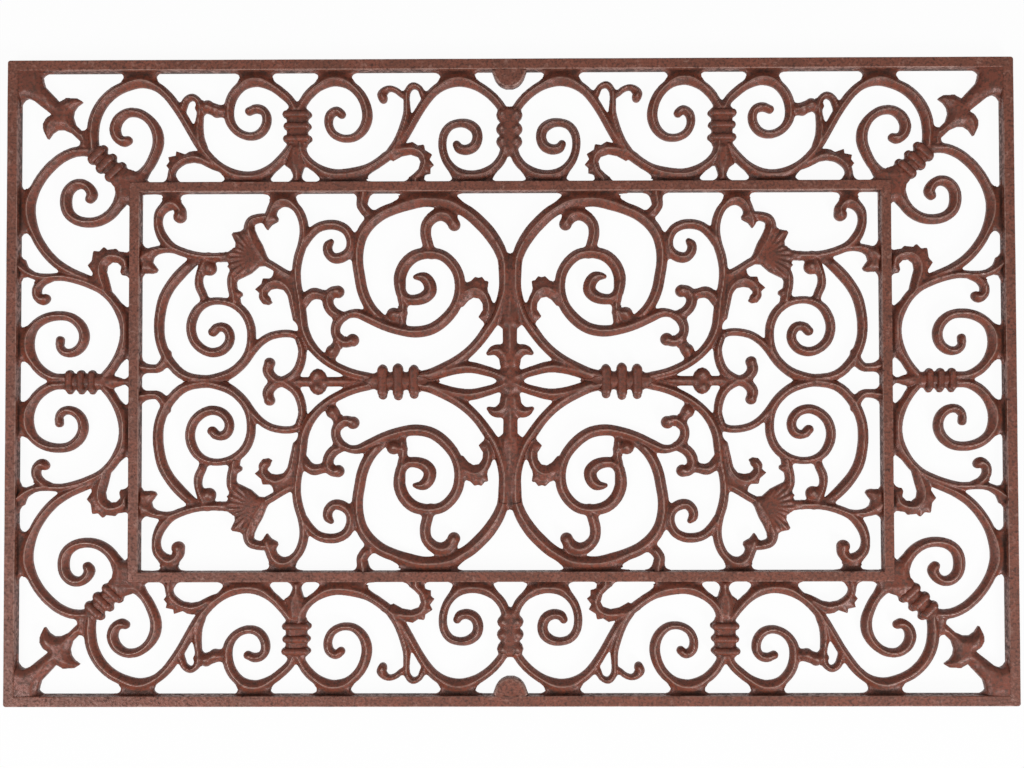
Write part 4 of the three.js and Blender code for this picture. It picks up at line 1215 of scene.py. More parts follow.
side_collar_shares = [
    [40.4, 47], [40.4, 54.2], [41.4, 55.2], [43.4, 55.2], [44.4, 54.2], [44.4, 47],
]
side_rib_shares = [
    [[39.7, 53.2], [45.3, 53.2]], [[39.8, 50.8], [45.1, 50.8]], [[39.6, 48.3], [45.2, 48.3]],
]
tongue_shares = [
    [40.9, 47.2], [40.7, 44.4], [41, 42.6], [41.5, 40.9], [41.3, 39.3], [43.5, 39.3], [43.1, 40.9],
    [43.8, 42.4], [44, 44.2], [43.8, 47.2],
]
inner_side_volute_shares = [
    [42, 54.2, 0.9], [41.1, 55.9, 0.95], [39.9, 57.5], [38, 59], [35.2, 59.9], [32.2, 59.3],
    [30, 57.4, 1.05], [28.8, 55, 1.1], [28.5, 52.5, 1.1], [29.3, 50.2, 1], [31.1, 48.6, 0.85],
    [33.4, 48.4, 0.8], [35.4, 49.5, 0.85], [36.2, 51.5, 0.9], [35.8, 53.2, 0.95],
    [34.6, 53.9, 0.9], [33.3, 53, 0.75],
]
outer_side_volute_shares = [
    [42.8, 54.2, 0.9], [43.7, 55.9, 0.95], [45.2, 57.4], [47.4, 59], [50.3, 59.9], [53.1, 59.3],
    [55.1, 57.3, 1.05], [56, 54.7, 1.05], [55.8, 52], [54.4, 50, 0.9], [52.1, 49, 0.85],
    [50.1, 49.4, 0.9], [48.8, 50.9, 0.95], [48.5, 52.8, 0.95], [49.2, 54.1, 0.95],
    [50.6, 54.5, 0.95], [52, 54, 0.6],
]
inner_side_web_shares = [
    [31.1, 62.1], [31.5, 60.4], [32.4, 59.4], [37, 59.4], [38.3, 60.4], [38.8, 62.1],
]
outer_side_web_shares = [
    [46.8, 62.1], [47.5, 60.5], [48.5, 59.5], [53, 59.5], [53.9, 60.3], [54.7, 62.1],
]

scroll_finish = iron_finish(
    "scroll_iron_finish",
    body=(115, 60, 44), rust=(134, 68, 49), dark=(80, 47, 33), hollow=(52, 31, 21),
    crest=(181, 147, 134), skin=(80, 460, 1400), relief=(1.0, 0.75, 0.5),
    roughness=0.4, bump=0.00045,
)
quarters = {
    "back_right": (1, 1),
    "back_left": (-1, 1),
    "front_right": (1, -1),
    "front_left": (-1, -1),
}


def place_in_quarters(cast, piece_name):
    """Sets a casting into each quarter of the mat."""
    for quarter, (flip_right, flip_back) in quarters.items():
        place_casting(cast, piece_name + "_" + quarter, flip_right, flip_back)


def collar_ring_tree():
    """Sweeps a crowned section along each ring of a collar, as wide and tall as the ring says."""
    tree, given, out = new_tree(
        "collar_ring", "GeometryNodeTree",
        [("Geometry", "Geometry", None), ("Step", "Float", route_step / 2),
         ("Floor gap", "Float", floor_gap), ("Side share", "Float", ring_side_share),
         ("Points around", "Int", ring_points), ("Iron", "Material", None)],
        [("Geometry", "Geometry")],
    )
    link = tree.links.new

    route = node(tree, "GeometryNodeMeshToCurve")
    link(given.outputs["Geometry"], route.inputs["Mesh"])
    even = node(tree, "GeometryNodeResampleCurve", mode="LENGTH")
    link(route.outputs["Curve"], even.inputs["Curve"])
    link(given.outputs["Step"], even.inputs["Length"])
    upright = node(tree, "GeometryNodeSetCurveNormal", mode="Z_UP")
    link(even.outputs["Curve"], upright.inputs["Curve"])

    ring = node(tree, "GeometryNodeCurvePrimitiveCircle")
    link(given.outputs["Points around"], ring.inputs["Resolution"])
    ring.inputs["Radius"].default_value = 1
    place = node(tree, "ShaderNodeSeparateXYZ")
    link(node(tree, "GeometryNodeInputPosition").outputs[0], place.inputs[0])
    cosine, sine = place.outputs["X"], place.outputs["Y"]
    side = given.outputs["Side share"]

    up = math_node(tree, "MAXIMUM", sine, 0)
    down = math_node(tree, "MAXIMUM", math_node(tree, "MULTIPLY", sine, -1), 0)
    flat = math_node(tree, "POWER", up, ring_crown)
    crown = math_node(tree, "MULTIPLY", math_node(tree, "SUBTRACT", 1, side), flat)
    foot = math_node(tree, "MULTIPLY", math_node(tree, "POWER", down, ring_foot), side)
    height = math_node(tree, "SUBTRACT", math_node(tree, "ADD", side, crown), foot)
    bulge = math_node(tree, "POWER", math_node(tree, "ABSOLUTE", cosine), ring_box)
    boxed = math_node(tree, "MULTIPLY", math_node(tree, "SIGN", cosine), bulge)
    below = math_node(tree, "GREATER_THAN", down, 0.0001)
    width = node(tree, "ShaderNodeMix", data_type="FLOAT")
    link(below, width.inputs["Factor"])
    link(cosine, width.inputs["A"])
    link(boxed, width.inputs["B"])
    shaped = node(tree, "ShaderNodeCombineXYZ")
    link(width.outputs["Result"], shaped.inputs["X"])
    link(math_node(tree, "MULTIPLY", height, -1), shaped.inputs["Y"])
    section = node(tree, "GeometryNodeSetPosition")
    link(ring.outputs["Curve"], section.inputs["Geometry"])
    link(shaped.outputs[0], section.inputs["Position"])

    half_wide = node(tree, "GeometryNodeInputNamedAttribute", data_type="FLOAT")
    half_wide.inputs["Name"].default_value = "half_wide"
    tall = node(tree, "GeometryNodeInputNamedAttribute", data_type="FLOAT")
    tall.inputs["Name"].default_value = "tall"
    sweep = node(tree, "GeometryNodeCurveToMesh")
    link(upright.outputs["Curve"], sweep.inputs["Curve"])
    link(section.outputs["Geometry"], sweep.inputs["Profile Curve"])
    link(half_wide.outputs["Attribute"], sweep.inputs["Scale"])
    sweep.inputs["Fill Caps"].default_value = True

    at = node(tree, "ShaderNodeSeparateXYZ")
    link(node(tree, "GeometryNodeInputPosition").outputs[0], at.inputs[0])
    share = math_node(tree, "DIVIDE", at.outputs["Z"], half_wide.outputs["Attribute"])
    lifted = math_node(
        tree, "MULTIPLY_ADD", share, tall.outputs["Attribute"], given.outputs["Floor gap"]
    )
    raised = node(tree, "ShaderNodeCombineXYZ")
    link(at.outputs["X"], raised.inputs["X"])
    link(at.outputs["Y"], raised.inputs["Y"])
    link(lifted, raised.inputs["Z"])
    set_height = node(tree, "GeometryNodeSetPosition")
    link(sweep.outputs["Mesh"], set_height.inputs["Geometry"])
    link(raised.outputs[0], set_height.inputs["Position"])
    real = node(tree, "GeometryNodeRealizeInstances")
    link(set_height.outputs["Geometry"], real.inputs["Geometry"])
    finish = node(tree, "GeometryNodeSetMaterial")
    link(real.outputs["Geometry"], finish.inputs["Geometry"])
    link(given.outputs["Iron"], finish.inputs["Material"])
    link(finish.outputs["Geometry"], out.inputs["Geometry"])
    return tree


collar_ring = collar_ring_tree()


def ringed(data, rings, wide, tall, iron, stretch=1.0):
    """Adds a collar's rings to a cast piece. A ring is a stout rounded rib with round ends."""
    points, edges, halves, talls = [], [], [], []
    for row_a, row_b in rings:
        a, b = np.array(on_mat(row_a)), np.array(on_mat(row_b))
        a, b = (a + b) / 2 + (a - b) / 2 * stretch, (a + b) / 2 + (b - a) / 2 * stretch
        long = np.linalg.norm(b - a)
        count = int(long / (route_step / 2))
        for i in range(count + 1):
            run = long * i / count
            tip = np.clip(1 - min(run, long - run) / (wide * ring_end_share), 0, 1)
            round_off = max(1 - tip ** 2, ring_end_least) ** 0.5
            points.append((*(a + (b - a) * i / count), 0))
            halves.append(wide / 2 * round_off)
            talls.append(tall * (ring_low_share + ring_high_share * round_off))
            if i:
                edges.append((len(points) - 2, len(points) - 1))
    routes = bpy.data.meshes.new("ring_routes")
    routes.from_pydata(points, edges, [])
    keep_at_points(routes, half_wide=halves, tall=talls)
    swept = grown(routes, collar_ring, iron)
    rise = np.array([(v.co.z - floor_gap) / tall for v in swept.vertices])
    # Painted shade towards the ring's foot, and a painted highlight along its top.
    keep_at_points(
        swept,
        hollow=(ring_dark_from - rise) / ring_dark_over * ring_dark_share,
        crest=ring_rub_share - np.abs(rise - ring_rub_at) / ring_rub_over,
    )
    work = bmesh.new()
    work.from_mesh(data)
    work.from_mesh(swept)
    for face in work.faces:
        face.material_index = 0
    work.to_mesh(data)
    work.free()
    bpy.data.meshes.remove(swept)
    data.materials.clear()
    data.materials.append(iron)
    return data


class RingFoot(Bar):
    """The foot of a collar's ring, which spreads into the bars that the ring binds."""

    fillet = ring_fillet
    tip = True


def ring_feet(rings, wide, stretch=1.0):
    """The feet of a collar's rings, each a little shorter and narrower than its ring."""
    feet = []
    for row_a, row_b in rings:
        a, b = np.array(row_a), np.array(row_b)
        middle, half = (a + b) / 2, (b - a) / 2 * (stretch - foot_short_share)
        ends = [list(middle - half), list(middle + half)]
        feet.append(RingFoot(ends, wide * foot_wide_share, web_tall))
    return feet


tongue_bed_tall = 0.0056
tongue_bed_shares = [
    [41.8, 48], [41, 45], [40.5, 43], [41.9, 42], [43.4, 42], [44.7, 43], [44.1, 45], [43.4, 48],
]
side_collar = casting(
    "side_collar",
    scroll_finish,
    [
        Leaf(side_collar_shares, collar_core_tall, swell=0.3),
        Leaf(tongue_bed_shares, tongue_bed_tall, swell=0.2),
        Leaf(tongue_shares, bar_tall),
        Volute(inner_side_volute_shares),
        Volute(outer_side_volute_shares),
        Web(inner_side_web_shares),
        Web(outer_side_web_shares),
        *ring_feet(side_rib_shares, collar_ring_wide),
    ],
)
ringed(side_collar, side_rib_shares, collar_ring_wide, collar_ring_tall, scroll_finish)
place_in_quarters(side_collar, "side_collar_scroll")

# Long border, inner scroll: a bar from the centre collar over to the side collar, with a leaf
# on the inner rail and a looped tendril. Cast in one with its webs on the rails.
leaf_spike_tall = 0.0056
leaf_swell_share = 0.5
inner_arch_shares = [
    [1.1, 53.8, 0.9], [2.6, 55.8, 0.95], [4.5, 57.6, 0.95], [7, 59.1], [10, 59.8, 1.05],
    [12.8, 59.3, 1.05], [15.2, 57.8], [17.1, 55.5, 0.95], [18.7, 52.9, 0.9], [20.2, 50.2, 0.9],
    [21.8, 47.6, 0.95], [23.5, 45.6], [25.6, 43.9], [28.2, 42.3], [31.2, 41.5], [34.6, 41.2],
    [37.4, 41.9], [39.7, 43.3], [41.2, 45.2], [41.7, 47.4],
]
inner_stem_shares = [
    [24.2, 45.2, 0.9], [22.9, 46.9, 0.9], [21.8, 49.1, 0.9], [21, 51.4, 0.9], [20.55, 53.6, 0.8],
    [20.6, 55.8, 0.68], [20.4, 57.9, 0.66], [19.4, 59, 0.7], [18.1, 58.6, 0.6], [17.3, 57.1, 0.7],
    [16.8, 56, 0.7],
]
inner_tendril_shares = [
    [20.6, 56.6, 0.6], [21.7, 57.3, 0.6], [22.7, 58.1, 0.6], [23.9, 58.45, 0.62], [25, 58, 0.8],
    [25.6, 57.1, 0.95], [25.3, 56.3, 0.9],
]
inner_leaf_shares = [
    [22.6, 47.6], [20.8, 47.3], [19.4, 47.6], [18.3, 46.9], [17.1, 47.1], [16.9, 46], [15.5, 45.1],
    [16, 44.1], [15.1, 43], [15.8, 42.4], [15.8, 41.3], [16.8, 41.1], [17.6, 40.2], [17.5, 39.2],
    [19.9, 39.2], [19.9, 40.6], [19, 41.3], [18.2, 42.1], [17.8, 43.6], [18.3, 44.6], [19.8, 45.1],
    [21.5, 44.8], [23.3, 43.8], [24.6, 44.6],
]
inner_arch_web_shares = [
    [6.5, 62.1], [7, 60.6], [7.7, 59.4], [12.9, 59.4], [13.9, 60.3], [14.6, 62.1],
]
inner_foot_web_shares = [
    [27.9, 39.2], [28.9, 40.6], [30.2, 41.3], [35.4, 41.1], [36.7, 40.3], [37, 39.2],
]
inner_leaf_rib_shares = [
    [18.7, 38.6, 0.9], [18.6, 40.4, 0.85], [17.4, 41.9, 0.8], [16.9, 43.6, 0.8], [17.5, 45.2, 0.85],
    [19.2, 46.1, 0.9], [21.4, 46, 0.95], [23.4, 45.5, 0.9], [25.2, 44.7, 0.8],
]
inner_tendril_bead_share = [25.35, 56.6]
long_inner = casting(
    "long_inner",
    scroll_finish,
    [
        Bar(inner_arch_shares),
        Bar(inner_stem_shares, let_in="both"),
        Bar(inner_tendril_shares, let_in="start"),
        Leaf(inner_leaf_shares, leaf_spike_tall, leaf_swell_share),
        Bar(inner_leaf_rib_shares, let_in="end"),
        Knob(inner_tendril_bead_share, band_bar_wide),
        Web(inner_arch_web_shares),
        Web(inner_foot_web_shares),
    ],
)
place_in_quarters(long_inner, "long_inner_scroll")

# Long border, outer scroll: a bar from the side collar over to the corner collar, with a leaf,
# a looped tendril and a ball that ties it to the volute beside it.
outer_foot_shares = [
    [43.6, 46.8, 0.9], [45, 44.9], [46.9, 42.9, 1.05], [49.2, 41.5, 1.05], [52, 40.9, 1.05],
    [55.3, 41.5], [58, 42.9], [60.2, 44.9], [62, 47.3], [63.7, 50.2], [65.2, 52.8], [66.8, 55.2],
    [68.4, 57.2], [70.6, 58.9], [73.4, 59.6], [76.3, 59.1, 1.05], [79.1, 57.8, 1.1],
    [81.4, 55.6, 1.15], [82.9, 52.7, 1.2], [83.4, 49.5, 1.2], [83.2, 46.4, 1.1],
]
outer_stem_shares = [
    [61, 46], [61.9, 48.4], [62.1, 50.6, 0.95], [61.85, 52.8, 0.75], [61.7, 54.6, 0.7],
    [62.1, 56, 0.7], [63.3, 56.8, 0.72], [64.5, 56.2, 0.72], [65.1, 54.9, 0.75], [65.6, 53.2, 0.8],
]
ball_tie_shares = [[56.2, 54, 1.1], [58.2, 54.1, 1.3], [60.1, 54.7, 1.25], [62, 54.6, 1]]
outer_leaf_shares = [
    [59.6, 44.6], [61.2, 45.7], [62.9, 46], [64, 45.8], [64.8, 45.3], [66.6, 45.9], [66.7, 45],
    [68.2, 44.7], [68, 43.8], [68.6, 43], [68.1, 42.3], [68.35, 41.2], [68.2, 39.2], [66.4, 39.2],
    [66.6, 40.6], [66.9, 41.4], [66.3, 42.4], [65, 43.4], [63.2, 43.7], [61.4, 43.4], [59.8, 42.7],
]
outer_arch_web_shares = [
    [69.7, 62.1], [70.5, 60.6], [71.3, 59.3], [75.9, 59.3], [77.2, 60.3], [77.8, 62.1],
]
outer_foot_web_shares = [
    [47.9, 39.2], [48.9, 40.7], [50.3, 41.2], [54.3, 41], [56.1, 40.2], [56.7, 39.2],
]
outer_leaf_rib_shares = [
    [67.3, 38.6, 0.8], [67.5, 40.8, 0.7], [67.2, 42.2, 0.7], [66, 43.5, 0.75], [64.2, 44.4, 0.8],
    [62.2, 44.5, 0.9], [60.2, 43.6, 0.9], [58.4, 42.7, 0.9],
]
small_ball_share, small_ball_wide = [58.5, 54], 1.32 * band_bar_wide
large_ball_share, large_ball_wide = [60.2, 54.9], 1.36 * band_bar_wide
long_outer = casting(
    "long_outer",
    scroll_finish,
    [
        Bar(outer_foot_shares),
        Bar(outer_stem_shares, let_in="both"),
        Bar(ball_tie_shares, let_in="both"),
        Knob(small_ball_share, small_ball_wide),
        Knob(large_ball_share, large_ball_wide),
        Leaf(outer_leaf_shares, leaf_spike_tall, leaf_swell_share),
        Bar(outer_leaf_rib_shares, let_in="end"),
        Web(outer_arch_web_shares),
        Web(outer_foot_web_shares),
    ],
)
place_in_quarters(long_outer, "long_outer_scroll")

# Corner collar: three ribs across the diagonal bind the bars, and a fleur-de-lis runs from
# them into the outer frame's corner. Cast iron.
corner_ring_wide = 0.0064
corner_collar_shares = [[77.6, 42.8], [79.9, 40.7], [84.2, 44.6], [84.9, 46.8], [82.4, 47]]
corner_rib_shares = [
    [[77.2, 43.3], [80.6, 40.1]], [[79.1, 45], [82.4, 41.8]], [[80.9, 46.7], [84, 43.6]],
]
finial_shares = [
    [84, 46], [84.4, 50.2], [85.6, 50.1], [86.8, 51.3], [87.3, 52.9], [87.1, 54.1], [86.4, 55.1],
    [85.3, 55.9], [86.4, 56.6], [88.6, 56.7], [90, 55.9], [91.6, 57.6], [93.3, 59.4],
    [93.6, 60.6], [92.6, 62.1], [98, 62.1], [98, 55], [96.9, 56.4], [95.9, 56.8], [94.4, 55.6],
    [91.6, 53.4], [92.6, 52.7], [93.3, 51.5], [93.2, 50.2], [92.3, 48.3], [91.4, 49.6],
    [90.4, 50.3], [89.2, 50.3], [87.6, 49.6], [85.8, 47.9], [86.2, 46],
]
finial_reach = 0.005
finial_root_tall = 0.0082
finial_root_reach = 0.004
finial_root_shares = [
    [91.8, 54.6], [93.6, 55.6], [96.6, 56.8], [99.5, 56], [99.5, 63.5], [93, 63.5],
    [93.6, 61.2], [92.9, 58.9], [91, 56.6],
]
corner_finial = casting(
    "corner_finial",
    scroll_finish,
    [
        Leaf(corner_collar_shares, collar_core_tall, swell=0.3),
        Leaf(finial_shares, bar_tall, leaf_swell_share, finial_reach),
        Leaf(finial_root_shares, finial_root_tall, swell=0.3, reach=finial_root_reach),
        *ring_feet(corner_rib_shares, corner_ring_wide),
    ],
)
ringed(corner_finial, corner_rib_shares, corner_ring_wide, collar_ring_tall, scroll_finish)
place_in_quarters(corner_finial, "corner_finial")

# Corner volutes: two volutes that spring from under the corner collar, joined at the inner
# frame's corner. Cast iron.
upper_corner_volute_shares = [
    [78.6, 40.6, 1.1], [76.2, 40.5, 1.1], [74.1, 41], [72.4, 42.6], [71.1, 44.9, 1.05],
    [70.3, 47.4, 1.15], [70.5, 49.8, 1.15], [71.8, 52], [74, 53.5, 0.95], [76.4, 53.6, 0.95],
    [78.2, 52.3, 1.1], [78.9, 50.4, 1.15], [78.4, 48.7, 1.1], [77.2, 47.9, 1], [76, 48.2, 0.7],
]
lower_corner_volute_shares = [
    [77.6, 41.6, 1.1], [77.6, 39.2, 1.15], [77.8, 37.1, 1.15], [78.5, 35.1, 1.15],
    [79.9, 33.4, 1.1], [82, 32.2, 1.05], [84.4, 31.9, 1.05], [86.7, 32.5, 1.1],
    [88.2, 33.9, 1.15], [88.7, 36, 1.2], [88.3, 38, 1.15], [87.1, 39.2, 1.1], [85.6, 39.5, 1.05],
    [84.2, 38.8, 1.05], [83.5, 37.5, 1.1], [84.1, 36.3, 0.7],
]
corner_joint_tall = 0.0082
corner_joint_reach = 0.0045
corner_joint_shares = [
    [74, 35.6], [74, 38.3], [72.2, 38.3], [72.8, 40.8], [75, 42], [77, 42.6], [80, 40.2],
    [78.7, 38.4], [77.8, 35.6],
]
corner_volutes = casting(
    "corner_volutes",
    scroll_finish,
    [
        Volute(upper_corner_volute_shares),
        Volute(lower_corner_volute_shares),
        Leaf(corner_joint_shares, corner_joint_tall, swell=0.25, reach=corner_joint_reach),
    ],
)
place_in_quarters(corner_volutes, "corner_volutes")

# Short border scroll: a bar sweeps from the corner collar to the short collar, with a leaf on
# the inner rail, a hook, and a foot on the outer rail. Cast iron.
corner_sweep_shares = [
    [84.2, 46], [86.9, 45.9], [89.5, 44.8], [91.8, 42.9], [93.7, 40.6], [95.1, 38], [95.8, 35],
    [95.5, 32], [94.6, 29.2], [92.9, 26.4], [90.8, 24.1], [88.2, 22.3], [85.2, 21, 0.9],
    [82.6, 20, 0.9],
]
short_bow_shares = [
    [80.6, 1], [79.2, 2.7], [77.9, 5, 0.95], [77.1, 7.4, 0.9], [76.8, 9.8, 0.9], [77.1, 12.3, 0.95],
    [78, 14.6], [79.4, 16.7], [81.3, 18.4], [83.7, 19.6], [86.4, 20.5, 0.95], [89.2, 21, 0.85],
    [92, 20.9, 0.8], [94.4, 21.1, 0.8], [96.3, 22, 0.85], [98, 23.2, 0.9],
]
short_hook_shares = [
    [91.2, 20.8, 0.8], [93.1, 20, 0.85], [94.2, 18.6, 0.95], [94.1, 17.1], [93.1, 16.4, 1.05],
    [92.2, 16.8, 0.75],
]
foot_on_rail_shares = [
    [94.4, 21.8], [95.5, 22.6], [96, 23.8], [96.3, 24.7], [98.2, 25], [98.2, 20.1], [97.2, 20.3],
    [96.5, 20.9], [95.5, 20.5], [94.2, 20.2],
]
short_leaf_shares = [
    [75.3, 25], [76.9, 25.9], [78, 26.1], [78.5, 26.6], [80.3, 26.4], [80.9, 27], [81.8, 26.1],
    [83, 26.2], [83.3, 24.2], [84.1, 23.3], [83.1, 21.8], [83.2, 20.2], [82.2, 18.8], [80.6, 17.9],
    [79.3, 17.8], [79.9, 20.2], [80.4, 22], [80.2, 23.2], [79.3, 23.9], [78.2, 23.8], [77.4, 23],
    [77.6, 21.9], [77.3, 21.3], [75.3, 21.2],
]
sweep_web_shares = [[98.2, 39], [97.1, 38.6], [95.7, 37.6], [95.2, 31], [96.1, 29.6], [98.2, 29]]
bow_web_shares = [[75.2, 14.3], [76.3, 14.1], [77.2, 12.7], [77.1, 6.6], [76.7, 5.2], [75.2, 4.8]]
short_leaf_rib_shares = [
    [79.9, 17, 0.8], [80.9, 19.4, 0.85], [81.6, 21.8, 0.9], [81.3, 23.8, 0.9], [79.9, 25, 0.9],
    [78.1, 25, 0.9], [76.7, 24.1, 0.85], [76.3, 22.9, 0.8], [75.2, 22.3, 0.8],
]
short_scroll = casting(
    "short_scroll",
    scroll_finish,
    [
        Bar(corner_sweep_shares, let_in="end"),
        Bar(short_bow_shares),
        Volute(short_hook_shares, let_in="start"),
        Leaf(short_leaf_shares, leaf_spike_tall, leaf_swell_share),
        Bar(short_leaf_rib_shares, let_in="end"),
        Web(foot_on_rail_shares),
        Web(sweep_web_shares),
        Web(bow_web_shares),
    ],
)
place_in_quarters(short_scroll, "short_scroll")

# Short border, centre: a collar of three rings with a spear to the inner rail and two volutes.
# Cast iron.
short_collar_half_shares = [
    [75.2, 0.4], [76.6, 0.45], [78, 1], [79.4, 1.25], [80.8, 1.5], [89.2, 1.45],
]
short_rib_shares = [
    [[83, -2.3], [83, 2.3]], [[85.2, -2.3], [85.2, 2.3]], [[87.5, -2.3], [87.5, 2.3]],
]
short_volute_shares = [
    [88.4, 0.6], [90.9, 0.8], [93.1, 1.9, 1.05], [94.7, 3.6, 1.05], [95.7, 6, 1.05],
    [95.8, 8.4, 1.05], [94.9, 10.9], [92.9, 12.5], [90, 13.2], [87.4, 12.8], [85.5, 11.2, 1.05],
    [84.8, 9.2, 1.05], [85.3, 7.2], [86.8, 5.9, 0.95], [88.5, 5.8, 0.9], [89.6, 6.8, 0.8],
    [89.6, 8.3, 0.45],
]
short_volute_web_shares = [
    [98.2, 4], [96.9, 4.3], [95.4, 5.2], [95.6, 9.6], [96.8, 10.7], [98.2, 11],
]
short_centre = casting(
    "short_centre",
    scroll_finish,
    [
        Leaf(whole(short_collar_half_shares, mirror_back), collar_core_tall, swell=0.4),
        Volute(short_volute_shares),
        Volute(mirror_back(short_volute_shares)),
        Web(short_volute_web_shares),
        Web(mirror_back(short_volute_web_shares)),
        *ring_feet(short_rib_shares, collar_ring_wide),
    ],
    quarter=False,
)
ringed(short_centre, short_rib_shares, collar_ring_wide, collar_ring_tall, scroll_finish)
for side, flip in (("right", 1), ("left", -1)):
    place_casting(short_centre, "short_centre_scroll_" + side, flip, 1)

# Panel, centre: a spindle forked at both ends, with four barbs and four arched arms that run
# to the panel's collars. Cast iron.
panel_bar_wide = 0.0078
spindle_reach = 0.0052
fork_bed_tall = 1.1 * web_tall
barb_stout_share = 1.12
spindle_quarter_shares = [
    [0.15, 22.6], [0.6, 20.4], [1.15, 17.4], [1.7, 13.6], [2.1, 11], [1.45, 10.4], [1.4, 7.4],
    [1.3, 3], [2.1, 2], [2.7, 0.4],
]
spindle_arm_shares = [
    [2.7, 27.5, 0.95], [1.85, 25.8, 1.05], [1.3, 24, 1.1], [1.1, 21.5, 1.1], [1.15, 19],
    [1.35, 17.4], [1.75, 15.8], [2.3, 14.1], [3.1, 12.3], [4.5, 10.2], [5.7, 8.5, 0.95],
    [7, 6.95, 0.93], [8.6, 5.4, 0.95], [10.6, 3.9, 1], [13.2, 2.5], [16, 1.3], [18.4, 0.8],
]
barb_shares = [[0.8, 3.4], [1.1, 5, 1.05], [2, 6, 1.05], [3.1, 6.15, 0.8], [4.3, 5.5, 0.3]]
eye_arch_shares = [
    [1.2, 0.6], [2.8, 1.4, 0.9], [5, 2.1, 0.95], [7.6, 2.7, 1.05], [10.2, 2.6, 1.1], [12.8, 1.9],
    [16, 0.8],
]
stout_barb_shares = [
    [*row[:2], (row[2] if len(row) > 2 else 1) * barb_stout_share] for row in barb_shares
]
spindle_flute_shares = [
    [0.4, 22, 0.25], [0.72, 19, 0.34], [1, 16, 0.38], [1.2, 13, 0.38], [1.1, 11, 0.3],
]
eye_crossing_shares = [[0, 0, 0.7], [0.8, 0.5, 0.7], [1.9, 1.15, 0.7]]
fork_bed_shares = [[0, 24.2, 0.8], [0, 22, 0.8], [0, 19], [0, 15]]
spindle_half_shares = whole(spindle_quarter_shares, mirror_back)
spindle_outline_shares = whole(spindle_half_shares, mirror_right)
spindle_parts = [Leaf(spindle_outline_shares, bar_tall, leaf_swell_share, spindle_reach)]
for rows, kind in (
    (spindle_arm_shares, Bar), (stout_barb_shares, Volute), (eye_arch_shares, Bar),
    (eye_crossing_shares, Bar), (spindle_flute_shares, Bar),
):
    for turned in (rows, mirror_right(rows), mirror_back(rows), mirror_back(mirror_right(rows))):
        spindle_parts.append(kind(turned, panel_bar_wide))
for turned in (fork_bed_shares, mirror_back(fork_bed_shares)):
    spindle_parts.append(Bar(turned, panel_bar_wide, fork_bed_tall))
centre_spindle = casting("centre_spindle", scroll_finish, spindle_parts, quarter=False)
place_casting(centre_spindle, "centre_spindle")

# Panel, side: a collar of three rings with a spear and a bead, and two curls back to back.
# Cast iron.
panel_ring_wide = 0.0076
panel_ring_stretch = 1.12
panel_collar_reach = 0.004
panel_bead_wide = 1.15 * panel_bar_wide
panel_bead_shares = [[38.2, 1.25], [38.2, -1.25]]
curl_end_shares = [[47.8, 3.7], [47.8, -3.7]]
panel_collar_half_shares = [
    [17, 1.45], [28.6, 1.5], [29.2, 0.3], [31, 0.5], [33.3, 0.95], [36.3, 0.95], [36.7, 1.8],
    [37.4, 2.45], [38.2, 2.65], [39, 2.35], [39.6, 1.7], [39.9, 0.95], [42.4, 0.95], [44.4, 0.4],
]
panel_rib_shares = [
    [[19, -2.8], [19, 2.8]], [[22.15, -3.1], [22.15, 3.1]], [[25.2, -2.9], [25.2, 2.9]],
]
c_curl_shares = [
    [42, 8.6, 0.7], [41.3, 6.4, 0.75], [41.5, 4.2, 0.8], [42.3, 2.2, 0.85], [43.7, 0.8, 0.9],
    [45.5, 0.1, 0.9], [47.1, 0.7, 0.95], [48.1, 2.1], [47.9, 3.5, 0.95],
]
collar_core_half_shares = [
    [15.2, 0.1], [16, 0.8], [17, 1.5], [18.6, 1.75], [22, 1.7], [25.6, 1.7], [27.4, 1.55],
    [28.6, 1.2],
]
panel_collar_shares = whole(panel_collar_half_shares, mirror_back)
collar_core_shares = whole(collar_core_half_shares, mirror_back)
panel_side = casting(
    "panel_side",
    scroll_finish,
    [
        Leaf(panel_collar_shares, collar_core_tall, swell=0.42, reach=panel_collar_reach),
        *[Knob(row, panel_bead_wide) for row in panel_bead_shares],
        Bar(c_curl_shares, panel_bar_wide),
        Bar(mirror_back(c_curl_shares), panel_bar_wide),
        *[Knob(row, panel_bar_wide) for row in curl_end_shares],
        Leaf(collar_core_shares, collar_core_tall, swell=0.4, reach=panel_collar_reach),
        *ring_feet(panel_rib_shares, panel_ring_wide, panel_ring_stretch),
    ],
    quarter=False,
)
ringed(
    panel_side, panel_rib_shares, panel_ring_wide, collar_ring_tall, scroll_finish,
    panel_ring_stretch,
)
for side, flip in (("right", 1), ("left", -1)):
    place_casting(panel_side, "panel_side_scroll_" + side, flip, 1)

# Panel, heart: a stout bar from the spindle's fork, along the inner rail and down to the ring,
# with the tie that holds it to the rail. Cast iron.
heart_shares = [
    [1.35, 24.4, 1.05], [2.35, 26.8, 1.15], [4.1, 29.5, 1.22], [6.2, 31.8, 1.22], [8.6, 33.8, 1.18],
    [11.3, 35.1, 1.1], [14.2, 35.7, 1.05], [17.2, 35.8], [20.2, 35.2, 1.05], [23, 34.4, 1.1],
    [25.7, 33.2, 1.15], [28, 31.3, 1.15], [29.5, 29, 1.1], [30.2, 26.4, 1.05], [30.3, 23.6],
    [29.9, 20.8], [29.4, 18.2], [28.5, 15.9], [27.1, 13.8], [25.4, 12.2],
]
heart_tie_shares = [[29, 38], [29.2, 36.4, 1.05], [29.4, 35.1], [28.7, 33.9], [27.4, 32.8]]
heart_web_shares = [
    [11.5, 37.9], [11.5, 36.9], [12.6, 35.6], [20.3, 35.3], [21.3, 36.4], [22.3, 37.9],
]
panel_heart = casting(
    "panel_heart",
    scroll_finish,
    [
        Bar(heart_shares, panel_bar_wide, let_in="end"),
        Bar(heart_tie_shares, panel_bar_wide, let_in="end"),
        Web(heart_web_shares),
    ],
)
